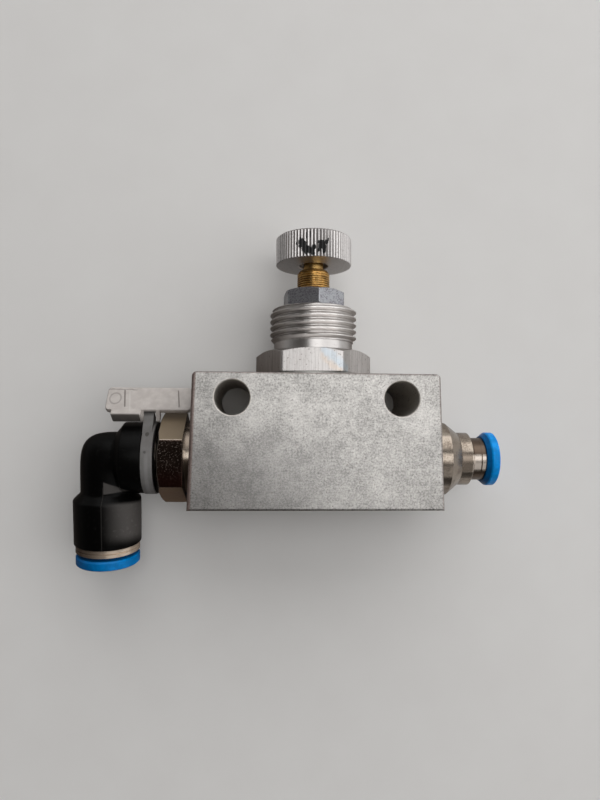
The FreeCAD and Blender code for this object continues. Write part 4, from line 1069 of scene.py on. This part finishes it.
PILLAR = [(4.9, 6.95), (4.9, 7.5), (6.35, 9.75), (7.0, 9.75), (7.0, 6.95)]
CORE = [(1.43, 8.05), (4.7, 8.5), (6.9, 8.6), (6.9, 5.7), (4.7, 5.9), (1.0, 7.5)]
TIE_PRISMS = {  # outline, lowest X, highest X
    "tie_left_pillar": (PILLAR, -38.55, -37.75),
    "tie_right_pillar": (PILLAR, -35.1, -34.3),
    "tie_core": (CORE, -37.7, -35.6),
}
for name, numbers in TIE_PRISMS.items():
    piece(name, prism(*numbers), "elbow", "tie_nylon", sharp=50)

# %% [markdown]
# ## The floor
# The floor is a pale sheet just under the valve. Metal mirrors what is round it, and the floor that the valve
# mirrors is darker to the left and in front than to the right. The camera sees it pale all over: Light Path tells
# the camera's own rays from the mirrored ones.

# %% Floor
FLOOR_HALF, FLOOR_POINTS = 900.0, 25

floor_low = min(cad_low.z, 0.0) / MM - 0.02
reach = np.linspace(-FLOOR_HALF, FLOOR_HALF, FLOOR_POINTS)
grid_x, grid_y = np.meshgrid(reach, reach)
floor_points = np.stack([grid_x, grid_y, np.full_like(grid_x, floor_low)], axis=-1)
step = np.arange(FLOOR_POINTS - 1)
corner = (step[:, None] * FLOOR_POINTS + step[None, :]).ravel()
floor_quads = np.stack([corner, corner + 1, corner + FLOOR_POINTS + 1, corner + FLOOR_POINTS], axis=-1)
floor_mesh = bpy.data.meshes.new("floor")
floor_mesh.from_pydata((floor_points.reshape(-1, 3) * MM).tolist(), [], floor_quads.tolist())
floor = in_scene("floor", floor_mesh)

paper = Finish("floor_paper", Specular_IOR_Level=0.2)
fibre = paper.noise(0.08, 3.0)
seen = paper.add("ShaderNodeLightPath", out="Is Camera Ray")
pale = paper.mix(fibre, (0.72, 0.705, 0.69), (0.76, 0.75, 0.735))
bright_side = paper.x.rise(15.0, 55.0).larger(paper.y.rise(20.0, 48.0) * 0.7)
mirrored = paper.mix(bright_side, (0.17, 0.145, 0.13), pale)
paper.feed(Base_Color=paper.mix(seen, mirrored, pale), Roughness=0.75 + fibre * 0.1)
floor_mesh.materials.append(paper.material)
print("floor at", round(floor_low, 2), "mm with", len(floor_mesh.polygons), "faces")

# %% [markdown]
# ## The lamps
# Four flat lamps hang over the valve. Two stand side by side, as the two bright bands on the bonnet's neck show;
# a long one lies beyond the knob and a faint one lies in front. A lamp is given by the angles that it fills as
# seen from the valve, because those are what the bands on the metal measure.

# %% Lamps
def panel(name, left, right, low, high, radiance, roll=0.0, away=0.8):
    """A flat lamp that, seen from the valve, fills the angles left to right along X and low to high along Y.

    Its size is twice its distance times the tangent of half the angle, and its power is the radiance times pi
    times its area. Its local X stays as near to the world's X as it can while its face looks at the valve. A
    roll in degrees then turns it in its own plane.
    """
    middle_x, middle_y = math.radians((left + right) / 2), math.radians((low + high) / 2)
    way = Vector((math.tan(middle_x), math.tan(middle_y), 1.0)).normalized()
    side = (Vector((1.0, 0.0, 0.0)) - way * way.x).normalized()
    data = bpy.data.lights.new(name, "AREA")
    data.shape = "RECTANGLE"
    data.size = 2 * away * math.tan(math.radians(right - left) / 2)
    data.size_y = 2 * away * math.tan(math.radians(high - low) / 2)
    data.energy = radiance * math.pi * data.size * data.size_y
    lamp = in_scene(name, data)
    turn = Matrix((side, way.cross(side), way)).transposed() @ Matrix.Rotation(math.radians(roll), 3, "Z")
    lamp.matrix_world = Matrix.Translation(way * away) @ turn.to_4x4()
    print(f"{name}: {data.size:.2f} by {data.size_y:.2f} m, {data.energy:.2f} W")


panel("left_panel", -12.5, 26.5, -7.5, 22.5, 1.9, roll=-36.0)
panel("right_panel", 28.0, 74.0, -20.0, 19.0, 1.25)
panel("high_panel", -14.0, 62.0, 33.0, 76.0, 1.3)
panel("low_panel", 8.0, 42.0, -56.0, -22.0, 0.5)

# %% [markdown]
# ## The sky
# The sky is dark overhead and behind the elbow, which gives the metal something dark to mirror, and pale towards
# the horizon beyond the knob. Its colour goes by how far a direction agrees with one that lies low there.

# %% Sky
world = bpy.data.worlds.new("sky")
bpy.context.scene.world = world
world.use_nodes = True
sky = Network(world.node_tree)
direction = sky.add("ShaderNodeTexCoord", out="Generated")
agreement = sky.add(
    "ShaderNodeVectorMath", {"operation": "DOT_PRODUCT"}, {0: direction, 1: (0.25, 0.5, -0.85)}, out="Value",
)
sky_colour = sky.mix(agreement.rise(-0.85, 0.6), (0.045, 0.04, 0.036), (0.80, 0.80, 0.80))
sky.tree.links.new(sky_colour.socket, sky.tree.nodes["Background"].inputs["Color"])
print("sky nodes:", len(sky.tree.nodes))

# %% [markdown]
# ## The camera
# The camera looks almost straight down from 15 cm, with a wide lens. Its place and angles were fitted to the
# block's edges, the two holes, the knob and the thread.

# %% Camera
camera_data = bpy.data.cameras.new("camera")
camera_data.lens, camera_data.sensor_width = 27.0, 36.0
camera = in_scene("camera", camera_data)
camera.location = (-0.01153, 0.00619, 0.15156)
camera.rotation_euler = (math.radians(2.94), math.radians(-3.56), math.radians(0.39))
bpy.context.scene.camera = camera
bpy.context.scene.view_settings.view_transform = "Standard"
print("camera at", [round(v / MM, 1) for v in camera.location], "mm, lens", camera_data.lens, "mm")
